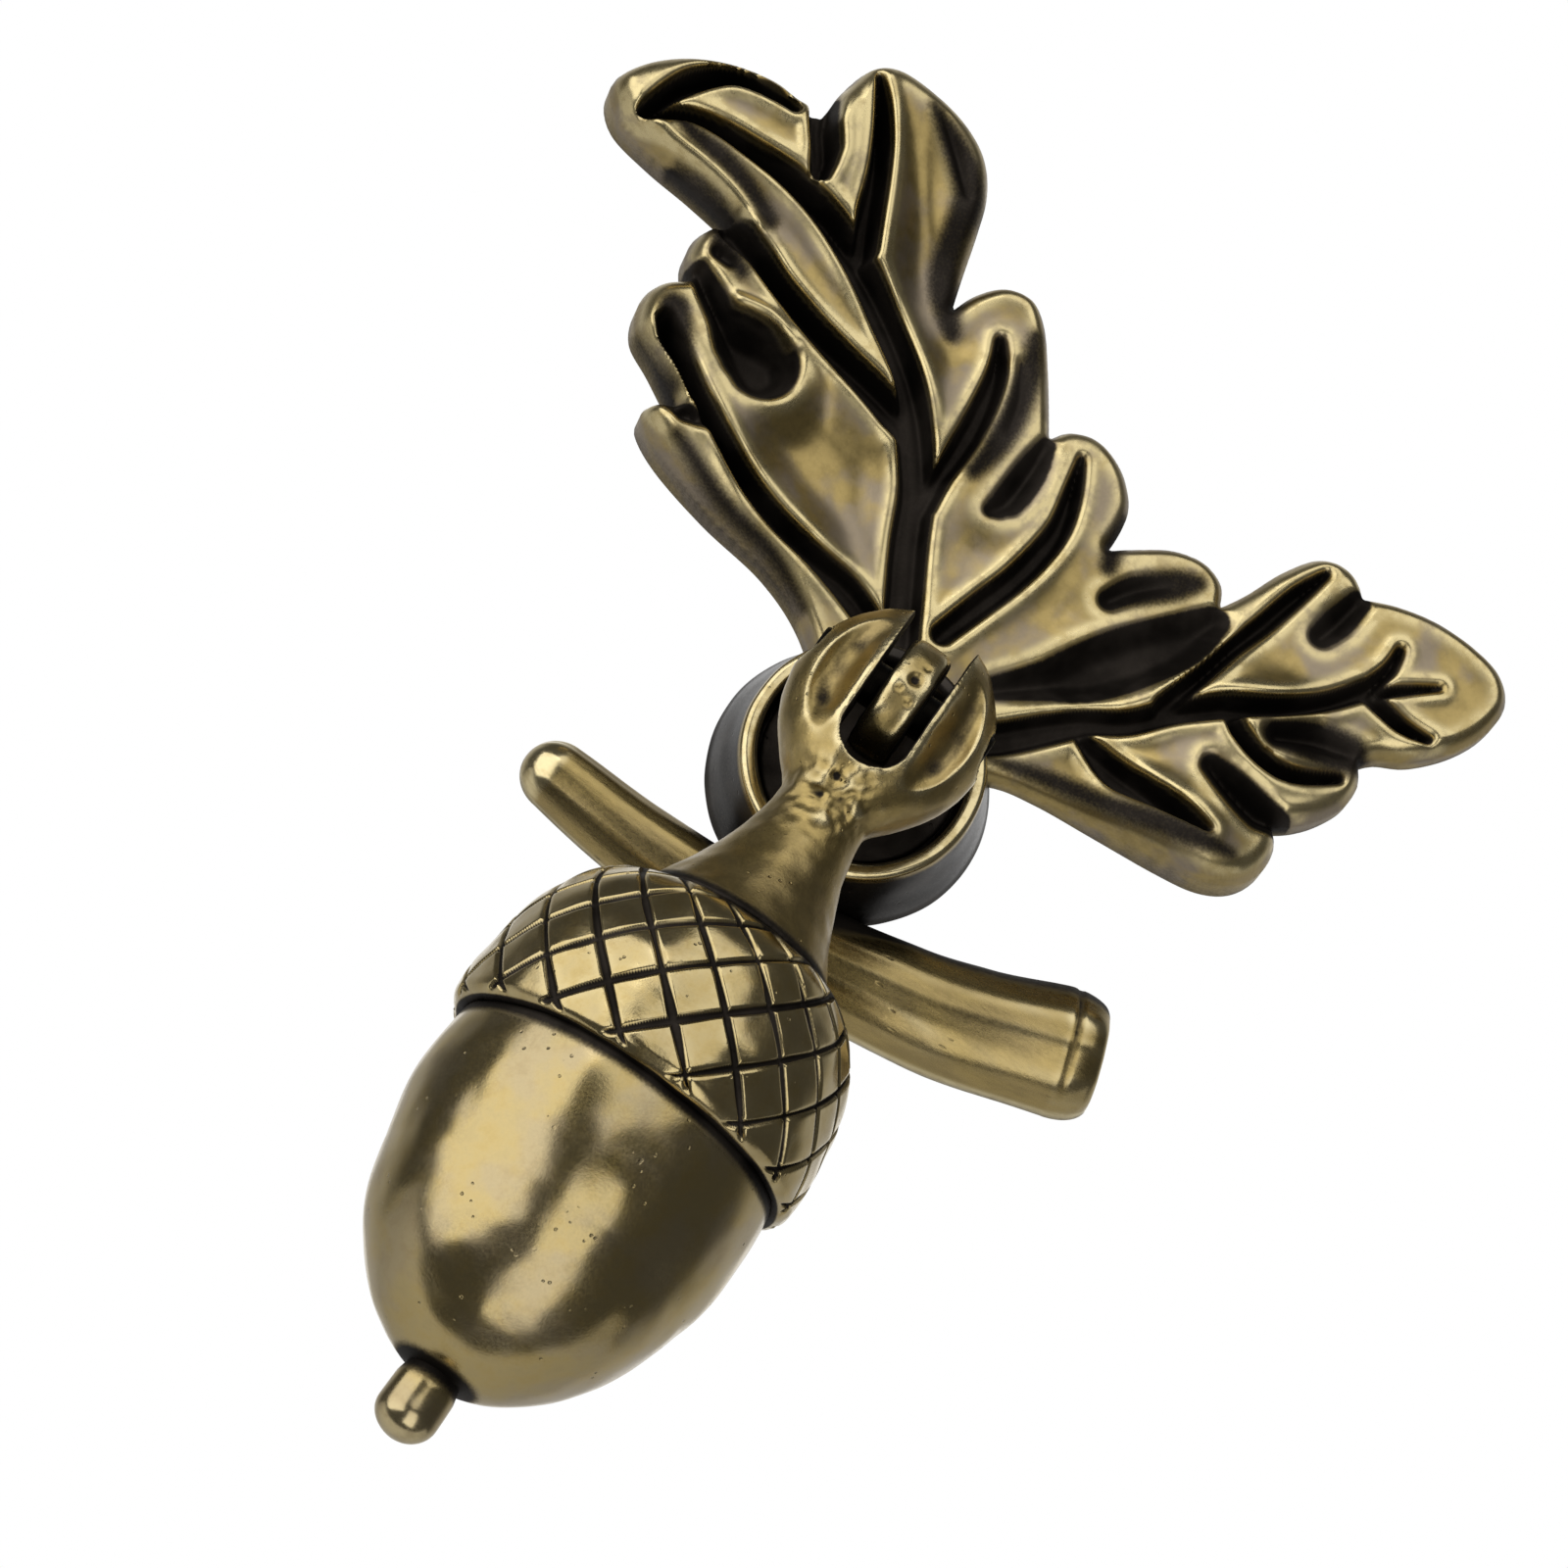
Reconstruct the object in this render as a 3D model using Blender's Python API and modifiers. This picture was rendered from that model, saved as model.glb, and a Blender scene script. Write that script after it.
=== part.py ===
"""Acorn drop pull: an oak leaf backplate with a round boss, an eye post in the boss, and an acorn
that hangs on a cross pin through the post. Metres, +Z up. The back lies in the plane y = 0, the front
faces -Y, and the origin is the middle of the boss on that back."""

import math

import bmesh
import bpy
import numpy as np
from mathutils import Vector
from mathutils.geometry import delaunay_2d_cdt

MM = 0.001

# Boss: a drafted drum with a recess for the post's collar
BOSS_BASE_RADIUS = 7.45
BOSS_RIM_RADIUS = 6.4
BOSS_HEIGHT = 5.15
BOSS_RIM_WIDTH = 0.9
BOSS_RIM_CHAMFER = 0.25
BOSS_EDGE_ROUND = 0.35
RECESS_DEPTH = 2.2

# Eye post: a tapped shank in the boss, a domed collar in the recess and a round-ended tongue
SHANK_RADIUS = 2.9
SHANK_SET_BACK = 0.3
COLLAR_THICKNESS = 0.7
COLLAR_DOME = 3.2
SCREW_HOLE_RADIUS = 1.65
SCREW_HOLE_DEPTH = 5.2
SCREW_HOLE_CONE = 0.8
EYE_RADIUS = 3.3
EYE_THICKNESS = 2.0
EYE_EDGE_ROUND = 0.65
EYE_NECK_WIDTH = 5.6

# Hinge: the pin lies a little above the boss's middle
PIN_HEIGHT = 12.8
PIN_RISE = 0.8
PIN_RADIUS = 1.2
PIN_END_SET_BACK = 0.35
SEAT_GAP = 0.3
PIN_FIT = 0.04
EYE_SIDE_PLAY = 0.85

# Fork of the drop, around the pin: an egg shape flattened front to back
FORK_HALF_WIDTH = 5.45
FORK_FLATNESS = 0.68
FORK_TOP = 4.6
SLOT_BOTTOM = 4.9
DISH_OFFSET = 3.35
DISH_DROP = 1.2
DISH_LEAN = 5.0
DISH_DEPTH = 1.0
DISH_TOOL_RADII = (1.5, 2.1, 5.6)

# Neck, cap and nut of the drop, measured down from the pin
NECK_RADIUS = 2.45
NECK_WAIST = 7.5
FLARE_END = 15.4
FLARE_RADIUS = 5.45
CAP_TOP = 15.7
CAP_BOTTOM = 26.3
CAP_RADIUS = 10.0
CAP_SIDE = 0.8
CAP_BAND = 1.1
CAP_ROLL = 0.6
LATTICE_LINES = 16
LATTICE_DEPTH = 0.32
LATTICE_LINE_SHARE = 0.1
NUT_RADIUS = 9.1
NUT_BOTTOM = 42.9
NUT_SWELL = 0.03
NUB_RADIUS = 1.65
NUB_LENGTH = 3.7
NUB_END = 1.1

# Foliage: the sections of rims, veins and hollows, with heights as shares of the ridges' height
CREST_REACH = 3.2
RIM_ROUND = 0.9
RIM_SHARE = 0.45
RIM_ROW = 0.3
SAG_SHARE = 0.3
SAG_START = 0.5
SAG_END = 2.0
VEIN_LIP = 0.06
VEIN_WALL = 0.38
VEIN_FLOOR_SHARE = 0.3
HOLLOW_LIP = 0.25
HOLLOW_SIDE = 1.5
HOLLOW_FLOOR_SHARE = 0.3
LEAST_HEIGHT = 0.5

# Twig behind the boss: half widths of its two ends and its height over the back
TWIG_LEFT_RADIUS = 1.95
TWIG_MIDDLE_RADIUS = 2.7
TWIG_RIGHT_RADIUS = 3.55
TWIG_FLATTENING = 1.05
TWIG_CUT = [(1.1, 0.97), (2.1, 0.72)]

# Outline of the two leaves, lobe by lobe and clockwise from the lower left: the first point of each
# lobe is a sharp valley, and a smooth curve passes through the rest
LOBES = [
    [(-3.4, 2.6), (-6.5, 5.2), (-9.7, 6.6), (-13.8, 7.3), (-17.5, 8.3), (-19.5, 9.4), (-19.5, 10.3)],
    [(-18.4, 11.0), (-20.6, 12.3), (-22.4, 13.3), (-23.1, 14.8), (-22.8, 16.2)],
    [(-21.7, 17.2), (-22.5, 18.2), (-22.7, 19.3), (-22.3, 20.4)],
    [(-21.5, 21.2), (-24.2, 21.6), (-27.0, 21.9), (-29.6, 22.5), (-30.9, 23.9), (-30.4, 25.5),
     (-28.8, 27.2), (-26.4, 28.5), (-24.0, 29.0), (-22.2, 28.9)],
    [(-21.0, 29.2), (-20.8, 31.2), (-20.3, 32.8), (-19.0, 33.7), (-16.8, 33.8), (-14.6, 33.4),
     (-12.7, 32.4), (-11.5, 30.8), (-10.8, 28.8), (-10.1, 26.3)],
    [(-9.6, 24.6), (-9.1, 26.0), (-8.0, 27.3), (-6.4, 27.6), (-5.1, 26.7), (-3.8, 25.0), (-2.5, 23.1)],
    [(-1.6, 21.7), (-0.9, 22.7), (0.6, 23.2), (2.4, 22.6), (3.8, 21.2), (4.2, 19.7)],
    [(4.2, 18.5), (5.4, 19.5), (7.0, 20.6), (8.7, 21.0), (10.1, 20.5)],
    [(10.7, 19.4), (11.5, 20.9), (12.3, 22.8), (13.4, 24.5), (14.6, 25.1), (15.8, 24.9)],
    [(16.6, 24.2), (18.2, 24.9), (20.4, 25.4), (22.8, 25.4), (24.8, 24.9), (25.9, 23.6), (25.8, 21.7),
     (24.9, 19.8), (23.4, 18.1), (21.9, 17.2)],
    [(21.2, 16.4), (21.8, 15.4), (21.8, 14.0), (21.1, 12.5), (20.2, 11.4)],
    [(19.3, 10.7), (20.0, 9.7), (20.1, 8.2), (19.4, 6.8), (17.9, 5.9), (15.6, 5.5), (12.0, 5.2),
     (8.5, 4.9), (6.0, 4.3), (3.0, 2.4)],
]

# Sunk veins: points from base to tip, each with the half width of the channel there
VEINS = {
    "left_midrib": [(-0.6, 5.0, 0.95), (-3.0, 9.5, 0.98), (-4.5, 12.3, 0.98), (-5.8, 15.0, 0.94),
                    (-7.5, 17.3, 0.98), (-9.3, 19.4, 0.79), (-11.8, 21.2, 0.85), (-14.7, 22.8, 0.85),
                    (-17.6, 24.0, 0.76), (-20.2, 24.5, 0.66), (-22.6, 24.6, 0.53), (-24.9, 24.6, 0.42),
                    (-26.7, 24.2, 0.34), (-28.3, 23.1, 0.38)],
    "left_top": [(-15.1, 23.8, 0.68), (-15.9, 25.5, 0.68), (-16.7, 27.5, 0.57), (-17.6, 29.3, 0.51),
                 (-18.7, 31.0, 0.38), (-19.6, 32.1, 0.19)],
    "left_notch": [(-19.3, 25.8, 0.57), (-19.8, 27.1, 0.79), (-20.7, 28.3, 0.8), (-21.3, 29.6, 0.8)],
    "left_tip": [(-28.6, 23.1, 0.38), (-28.0, 24.8, 0.57), (-27.2, 26.3, 0.66), (-25.9, 27.5, 0.57),
                 (-24.1, 27.9, 0.47), (-22.3, 27.9, 0.34)],
    "left_fold": [(-8.2, 17.2, 0.75), (-9.0, 17.4, 0.85), (-11.0, 17.9, 0.79), (-13.1, 18.3, 0.72),
                  (-15.2, 18.7, 0.66), (-17.6, 19.4, 0.6), (-19.4, 20.1, 0.66), (-21.2, 20.5, 0.8)],
    "left_loop": [(-3.6, 7.4, 0.7), (-5.8, 8.2, 0.76), (-8.1, 8.5, 0.6), (-10.6, 8.9, 0.57),
                  (-13.3, 9.7, 0.51), (-15.5, 10.6, 0.47), (-17.7, 11.8, 0.42), (-19.4, 12.9, 0.47),
                  (-20.8, 13.7, 0.57), (-21.4, 14.2, 0.47)],
    "left_right_lobe": [(-5.1, 14.5, 0.76), (-5.1, 16.3, 0.57), (-5.1, 18.4, 0.66), (-5.3, 20.6, 0.66),
                        (-5.8, 22.9, 0.53), (-6.6, 24.4, 0.28)],
    "left_low": [(-0.4, 9.2, 0.6), (0.4, 11.8, 0.66), (1.0, 13.7, 0.66), (1.4, 15.7, 0.66),
                 (1.5, 17.7, 0.6), (1.0, 19.8, 0.47), (0.4, 21.5, 0.19)],
    "right_midrib": [(3.4, 4.9, 0.8), (5.1, 6.3, 0.9), (6.9, 8.2, 0.84), (8.4, 9.7, 0.7),
                     (10.2, 10.9, 0.66), (11.9, 12.7, 0.66), (13.7, 14.2, 0.7), (16.0, 15.9, 0.56),
                     (18.0, 17.9, 0.5), (19.4, 19.8, 0.56)],
    "right_tip_up": [(19.4, 19.8, 0.5), (19.8, 21.4, 0.36), (19.7, 22.6, 0.24)],
    "right_tip_down": [(19.6, 19.6, 0.5), (21.9, 19.2, 0.4), (23.5, 19.4, 0.24)],
    "right_tip_middle": [(20.0, 20.0, 0.36), (21.5, 21.3, 0.24), (22.5, 22.1, 0.16)],
    "right_top": [(11.2, 12.6, 0.6), (12.0, 15.6, 0.5), (12.5, 17.8, 0.5), (13.1, 19.8, 0.54),
                  (13.7, 22.1, 0.5), (14.3, 23.9, 0.24)],
    "right_low": [(8.6, 8.8, 0.4), (10.9, 8.1, 0.76), (12.9, 8.0, 0.7), (14.9, 7.9, 0.5), (16.6, 7.8, 0.16)],
    "right_curl": [(14.2, 14.2, 0.44), (15.0, 13.5, 0.44), (16.8, 13.0, 0.44), (18.6, 13.3, 0.44),
                   (20.7, 14.8, 0.3)],
}

# Hollows and gaps between lobes: as the veins, but with soft round sides
HOLLOWS = {
    "left_pocket": [(-21.5, 17.6, 0.66), (-20.3, 16.9, 0.8), (-18.8, 16.1, 1.0), (-17.3, 15.6, 1.7),
                    (-16.0, 15.3, 2.1)],
    "left_small": [(-21.2, 19.0, 0.5), (-20.4, 18.9, 0.4)],
    "left_low_notch": [(-19.0, 10.5, 0.38), (-17.8, 10.5, 0.66), (-16.6, 10.7, 0.38)],
    "left_gap": [(-1.5, 21.0, 0.6), (-1.4, 19.3, 0.95), (-1.5, 17.3, 0.95), (-2.0, 16.3, 0.5)],
    "left_side": [(-5.0, 23.9, 0.38), (-3.9, 22.3, 0.66), (-3.3, 20.4, 0.38)],
    "left_top_side": [(-15.7, 32.5, 0.38), (-14.0, 31.3, 0.6), (-12.3, 29.8, 0.57)],
    "between": [(3.2, 8.2, 0.7), (5.4, 10.3, 1.2), (6.8, 11.8, 1.7), (8.3, 13.8, 1.9), (9.9, 16.2, 1.7),
                (10.8, 18.3, 1.0)],
    "right_small": [(5.7, 16.0, 0.7), (6.5, 17.4, 0.8), (7.7, 18.6, 0.5)],
    "right_top_side": [(15.9, 20.9, 0.8), (16.2, 22.0, 0.96), (16.5, 23.6, 0.8)],
    "right_panel": [(16.8, 14.6, 0.8), (18.6, 15.8, 0.9), (20.4, 16.3, 0.6)],
    "right_pocket": [(14.9, 11.1, 0.7), (16.4, 10.8, 1.0), (18.3, 10.5, 1.1), (19.6, 10.7, 0.8)],
}

# Height of the ridges over the back: (X, Z, height)
CRESTS = [
    (-4.3, 9.5, 2.0), (-5.7, 17.0, 2.1), (-9.3, 18.3, 3.5), (-15.5, 24.3, 4.3), (-20.2, 27.0, 4.9),
    (-12.5, 31.0, 3.6), (-9.5, 24.8, 2.0), (-29.0, 22.6, 4.4), (-18.7, 17.0, 4.1), (-18.0, 11.3, 4.7),
    (-10.0, 7.6, 3.2), (-2.5, 18.0, 2.3), (1.5, 19.5, 2.1), (6.0, 6.5, 1.7), (9.0, 9.6, 1.9),
    (11.5, 13.4, 2.9), (15.0, 14.4, 4.0), (16.7, 7.7, 4.7), (20.3, 20.0, 2.4), (23.6, 20.4, 2.3),
    (10.7, 19.6, 1.4), (7.0, 19.2, 1.4), (21.3, 15.6, 2.0), (14.3, 23.0, 2.1), (19.0, 10.0, 2.9),
]

# The twig's middle line, from its rounded left end to its cut right end
TWIG_LINE = [(-12.5, -8.5), (-8.5, -8.9), (-3.0, -9.1), (3.0, -8.9), (8.5, -8.1), (12.5, -7.1), (16.6, -5.6)]

OUTLINE_STEP = 0.75
VEIN_STEP = 0.9
HOLLOW_STEP = 1.2
FILL_STEP = 1.6
FILL_CLEARANCE = 0.6
STEM_STEP = 1.2
NUT_ROWS = 13
CLOSEST_POINTS = 0.22
TRIM_DEPTH = 1.2
TRIM_REACH = 80.0
ROUND_STEPS = 56
FORK_STEPS = 44


def clear_scene():
    for obj in list(bpy.data.objects):
        bpy.data.objects.remove(obj, do_unlink=True)


def new_collection(name, hidden=False):
    collection = bpy.data.collections.new(name)
    bpy.context.scene.collection.children.link(collection)
    collection.hide_render = hidden
    return collection


def metal(name, color, roughness):
    material = bpy.data.materials.new(name)
    material.use_nodes = True
    shader = material.node_tree.nodes["Principled BSDF"]
    shader.inputs["Base Color"].default_value = (*color, 1.0)
    shader.inputs["Metallic"].default_value = 1.0
    shader.inputs["Roughness"].default_value = roughness
    return material


def smooth(low, high, value):
    t = np.clip((value - low) / (high - low), 0.0, 1.0)
    return t * t * (3.0 - 2.0 * t)


def curve_through(points, step):
    """Points about a step apart on a Catmull-Rom curve through the given ones."""
    knots = np.array([points[0]] + list(points) + [points[-1]], float)
    found = []
    for a, b, c, d in zip(knots, knots[1:], knots[2:], knots[3:]):
        pieces = max(1, round(float(np.linalg.norm((c - b)[:2])) / step))
        for j in range(pieces):
            t = j / pieces
            found.append(0.5 * (2 * b + (c - a) * t + (2 * a - 5 * b + 4 * c - d) * t**2
                                + (3 * b - a - 3 * c + d) * t**3))
    found.append(knots[-2])
    return np.array(found)


def foliage_outline(step):
    following = LOBES[1:] + LOBES[:1]
    return np.concatenate([curve_through(lobe + [after[0]], step)[:-1]
                           for lobe, after in zip(LOBES, following)])


def segment_distance(points, starts, ends):
    """Distance of every point to every segment, and where along the segment it is met."""
    along = ends - starts
    from_start = points[:, None, :] - starts[None, :, :]
    share = np.clip((from_start * along).sum(2) / (along * along).sum(1), 0.0, 1.0)
    gap = from_start - share[:, :, None] * along
    return np.hypot(gap[:, :, 0], gap[:, :, 1]), share


def outline_distance(points, outline):
    return segment_distance(points, outline, np.roll(outline, -1, axis=0))[0].min(axis=1)


def channel_distance(points, channels):
    """How far each point lies outside the nearest channel; negative inside it."""
    nearest = np.full(len(points), 1e3)
    for channel in channels.values():
        line = curve_through(channel, VEIN_STEP)
        gap, share = segment_distance(points, line[:-1, :2], line[1:, :2])
        width = line[:-1, 2] + share * (line[1:, 2] - line[:-1, 2])
        nearest = np.minimum(nearest, (gap - width).min(axis=1))
    return nearest


def crest_height(points):
    """A smooth surface near the heights of the ridges."""
    total = np.zeros(len(points))
    weight = np.zeros(len(points))
    for x, y, height in CRESTS:
        near = 1.0 / ((points[:, 0] - x) ** 2 + (points[:, 1] - y) ** 2 + CREST_REACH**2) ** 2
        total += near * height
        weight += near
    return total / weight


def relief(points, outline):
    """Height of the foliage over the back at points inside the outline."""
    inside = outline_distance(points, outline)
    off_vein = channel_distance(points, VEINS)
    off_hollow = channel_distance(points, HOLLOWS)
    crest = crest_height(points)
    turn = np.clip(inside / RIM_ROUND, 0.0, 1.0)
    rim = RIM_SHARE + (1.0 - RIM_SHARE) * np.sqrt(1.0 - (1.0 - turn) ** 2)
    edge = np.minimum(off_vein, off_hollow)
    sag = SAG_SHARE * smooth(RIM_ROUND, SAG_END, inside) * smooth(SAG_START, SAG_END, edge)
    bowl = HOLLOW_FLOOR_SHARE + (1.0 - HOLLOW_FLOOR_SHARE) * smooth(-HOLLOW_SIDE, HOLLOW_LIP, off_hollow)
    share = np.minimum(rim - sag, bowl * np.minimum(rim + HOLLOW_LIP, 1.0))
    sink = smooth(0.0, VEIN_WALL, -off_vein)
    share = share + (np.minimum(VEIN_FLOOR_SHARE, share) - share) * sink
    return np.maximum(crest * share, LEAST_HEIGHT)


def inside_outline(points, outline):
    x, y = points[:, :1], points[:, 1:]
    ax, ay = outline[:, 0], outline[:, 1]
    bx, by = np.roll(ax, -1), np.roll(ay, -1)
    with np.errstate(divide="ignore", invalid="ignore"):
        crossing = ((ay > y) != (by > y)) & (x < ax + (y - ay) * (bx - ax) / (by - ay))
    return crossing.sum(axis=1) % 2 == 1


def offset_rows(line, offsets):
    ahead = np.gradient(line[:, :2], axis=0)
    ahead /= np.linalg.norm(ahead, axis=1)[:, None]
    side = np.column_stack([-ahead[:, 1], ahead[:, 0]])
    return np.concatenate([line[:, :2] + side * np.asarray(o).reshape(-1, 1) for o in offsets])


def spaced(points, kept, least):
    """The points that lie at least that far from each other and from those already kept."""
    for point in points:
        if len(kept) == 0 or np.hypot(*(np.array(kept) - point).T).min() >= least:
            kept.append(point)
    return kept


def foliage_points(outline):
    """Mesh points inside the outline: along rims, veins and hollows, and a sparse fill."""
    ring = np.concatenate([outline, outline[:1]])
    rims = offset_rows(ring, [-RIM_ROW * RIM_ROUND, -RIM_ROUND])
    wanted = [rims[channel_distance(rims, VEINS) > VEIN_LIP]]
    for vein in VEINS.values():
        line = curve_through(vein, VEIN_STEP)
        width = line[:, 2]
        crests = offset_rows(line, [width + VEIN_LIP, -width - VEIN_LIP])
        floors = offset_rows(line, [width - VEIN_WALL, VEIN_WALL - width])
        wanted.append(crests[np.abs(channel_distance(crests, VEINS)) < 2 * VEIN_LIP])
        wanted.append(floors[channel_distance(floors, VEINS) < -VEIN_WALL / 2])
    for hollow in HOLLOWS.values():
        line = curve_through(hollow, HOLLOW_STEP)
        width = line[:, 2]
        lips = offset_rows(line, [width + HOLLOW_LIP, -width - HOLLOW_LIP])
        clear = channel_distance(lips, HOLLOWS) > HOLLOW_LIP / 2
        wanted.append(lips[clear & (channel_distance(lips, VEINS) > VEIN_LIP)])
        wanted.append(line[:, :2])
    kept = []
    for group in wanted:
        spaced(well_inside(group, outline), kept, CLOSEST_POINTS)
    across = np.arange(-31.0, 26.5, FILL_STEP)
    up = np.arange(3.0, 34.0, FILL_STEP * math.sin(math.radians(60)))
    fill = np.array([(x + (j % 2) * FILL_STEP / 2, y) for j, y in enumerate(up) for x in across])
    return np.array(spaced(well_inside(fill, outline), kept, FILL_STEP * FILL_CLEARANCE))


def well_inside(points, outline):
    points = points[inside_outline(points, outline)]
    return points[outline_distance(points, outline) > CLOSEST_POINTS]


def link(name, mesh, collection):
    obj = bpy.data.objects.new(name, mesh)
    collection.objects.link(obj)
    return obj


def mesh_object(name, points, faces, collection):
    mesh = bpy.data.meshes.new(name)
    mesh.from_pydata([tuple(p) for p in points], [], faces)
    mesh.validate()
    return link(name, mesh, collection)


def slab_of(name, outline, inner, heights, collection):
    """A closed slab with the given top heights and a flat underside below the trimming plane."""
    flat = [Vector((float(x), float(y))) for x, y in np.concatenate([outline, inner])]
    border = list(range(len(outline)))
    points, _, faces, _, _, _ = delaunay_2d_cdt(flat, [], [border], 1, 1e-5)
    plan = np.array([(p.x, p.y) for p in points])
    top = heights(plan)
    count = len(plan)
    bottom = np.full(count, -TRIM_DEPTH)
    vertices = np.concatenate([np.column_stack([plan, top]), np.column_stack([plan, bottom])])
    solid = [tuple(face) for face in faces]
    edges = {(a, b) for face in solid for a, b in zip(face, face[1:] + face[:1])}
    walls = [(b, a, a + count, b + count) for a, b in edges if (b, a) not in edges]
    under = [tuple(v + count for v in reversed(face)) for face in solid]
    return mesh_object(name, vertices * MM, solid + walls + under, collection)


def turned(name, profile, collection, steps=ROUND_STEPS):
    """A solid of revolution about the object's Z from (radius, height) points, listed top to bottom."""
    mesh = bpy.data.meshes.new(name)
    edges = [(i, i + 1) for i in range(len(profile) - 1)]
    mesh.from_pydata([(r * MM, 0.0, h * MM) for r, h in profile], edges, [])
    obj = link(name, mesh, collection)
    screw = obj.modifiers.new("Turn", "SCREW")
    screw.steps = screw.render_steps = steps
    screw.use_merge_vertices = True
    screw.merge_threshold = 0.00001
    screw.use_smooth_shade = True
    return baked(obj, collection)


def baked(obj, collection):
    """The evaluated shape as a plain mesh object of the same name and place."""
    bpy.context.view_layer.update()
    mesh = bpy.data.meshes.new_from_object(obj.evaluated_get(bpy.context.evaluated_depsgraph_get()))
    name, matrix = obj.name, obj.matrix_world.copy()
    bpy.data.objects.remove(obj, do_unlink=True)
    shape = bmesh.new()
    shape.from_mesh(mesh)
    bmesh.ops.remove_doubles(shape, verts=shape.verts, dist=0.000002)
    bmesh.ops.recalc_face_normals(shape, faces=shape.faces)
    shape.to_mesh(mesh)
    shape.free()
    fresh = link(name, mesh, collection)
    fresh.matrix_world = matrix
    return fresh


def combine(target, tool, operation, collection):
    """Joins, cuts or trims the target with the tool, and removes the tool."""
    tool.hide_render = True
    tool.display_type = "WIRE"
    boolean = target.modifiers.new(operation.title(), "BOOLEAN")
    boolean.operation = operation
    boolean.solver = "EXACT"
    boolean.object = tool
    result = baked(target, collection)
    bpy.data.objects.remove(tool, do_unlink=True)
    return result


def box(name, low, high, collection):
    bpy.ops.mesh.primitive_cube_add(size=1.0, location=[(a + b) / 2 * MM for a, b in zip(low, high)])
    obj = bpy.context.active_object
    obj.name = name
    obj.scale = [(b - a) * MM for a, b in zip(low, high)]
    return adopted(obj, collection)


def rod(name, radius, half_length, centre, axis, collection, steps=ROUND_STEPS // 2):
    """A round rod centred at a point, lying along X or Y."""
    turn = {"X": (0.0, math.pi / 2, 0.0), "Y": (math.pi / 2, 0.0, 0.0)}[axis]
    bpy.ops.mesh.primitive_cylinder_add(vertices=steps, radius=radius * MM, depth=2 * half_length * MM,
                                        location=[c * MM for c in centre], rotation=turn)
    obj = bpy.context.active_object
    obj.name = name
    return adopted(obj, collection)


def adopted(obj, collection):
    """Moves a primitive into the collection, with its scale applied."""
    for other in obj.users_collection:
        other.objects.unlink(obj)
    collection.objects.link(obj)
    bpy.context.view_layer.update()
    obj.data.transform(obj.matrix_world)
    obj.matrix_world.identity()
    return obj


def arc(centre, radius, start, stop, steps):
    """Points on an arc, with angles in degrees."""
    angles = np.radians(np.linspace(start, stop, steps + 1))
    return [(centre[0] + radius * math.cos(a), centre[1] + radius * math.sin(a)) for a in angles]


def make_boss(parts):
    """The drum, solid for now, with a rounded outer edge and a chamfered rim."""
    rim_outside = (BOSS_RIM_RADIUS, BOSS_HEIGHT - BOSS_EDGE_ROUND)
    edge = arc((BOSS_RIM_RADIUS - BOSS_EDGE_ROUND, rim_outside[1]), BOSS_EDGE_ROUND, 90, 0, 3)
    foot = [(BOSS_BASE_RADIUS, 0.0), (BOSS_BASE_RADIUS, -TRIM_DEPTH), (0.0, -TRIM_DEPTH)]
    return turned("boss", [(0.0, BOSS_HEIGHT)] + edge + foot, parts)


def boss_cutter(cutters):
    """The recess with its inner chamfer, and the hole for the shank."""
    recess = BOSS_RIM_RADIUS - BOSS_RIM_WIDTH
    floor = BOSS_HEIGHT - RECESS_DEPTH
    hole = SHANK_RADIUS + SEAT_GAP
    above = BOSS_HEIGHT + 1.0
    chamfer_out = recess + BOSS_RIM_CHAMFER
    return turned("boss_cutter", [(0.0, above), (chamfer_out, above), (chamfer_out, BOSS_HEIGHT),
                                  (recess, BOSS_HEIGHT - BOSS_RIM_CHAMFER), (recess, floor), (hole, floor),
                                  (hole, -TRIM_DEPTH - 1.0), (0.0, -TRIM_DEPTH - 1.0)], cutters)


def make_twig(parts):
    """A round rod, thicker to the right, with a rounded left end and a slanted cut at the right end."""
    line = curve_through(TWIG_LINE, 1.6)
    travel = np.concatenate([[0.0], np.cumsum(np.hypot(*np.diff(line, axis=0).T))])
    share = travel / travel[-1]
    radius = np.interp(share, [0.0, 0.45, 1.0], [TWIG_LEFT_RADIUS, TWIG_MIDDLE_RADIUS, TWIG_RIGHT_RADIUS])
    ahead = np.gradient(line, axis=0)
    ahead /= np.linalg.norm(ahead, axis=1)[:, None]
    ball = [(math.cos(a), math.sin(a)) for a in np.radians([80, 60, 38, 16])]
    sections = [(line[0] - ahead[0] * TWIG_LEFT_RADIUS * s, TWIG_LEFT_RADIUS * c) for c, s in ball]
    sections += [(p, r) for p, r in zip(line, radius)]
    for reach, narrowing in TWIG_CUT:
        sections.append((line[-1] + ahead[-1] * reach, TWIG_RIGHT_RADIUS * narrowing))
    heads = [ahead[0]] * len(ball) + list(ahead) + [ahead[-1]] * len(TWIG_CUT)
    sides = 20
    points, faces = [], []
    for (centre, r), head in zip(sections, heads):
        across = np.array([-head[1], head[0]])
        for k in range(sides):
            a = 2 * math.pi * k / sides
            spot = centre + across * r * math.cos(a)
            points.append((spot[0] * MM, spot[1] * MM, r * TWIG_FLATTENING * math.sin(a) * MM))
    for j in range(len(sections) - 1):
        for k in range(sides):
            a, b = j * sides + k, j * sides + (k + 1) % sides
            faces.append((a, b, b + sides, a + sides))
    faces.append(tuple(reversed(range(sides))))
    faces.append(tuple(range((len(sections) - 1) * sides, len(sections) * sides)))
    twig = mesh_object("twig", points, faces, parts)
    return baked(twig, parts)


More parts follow.
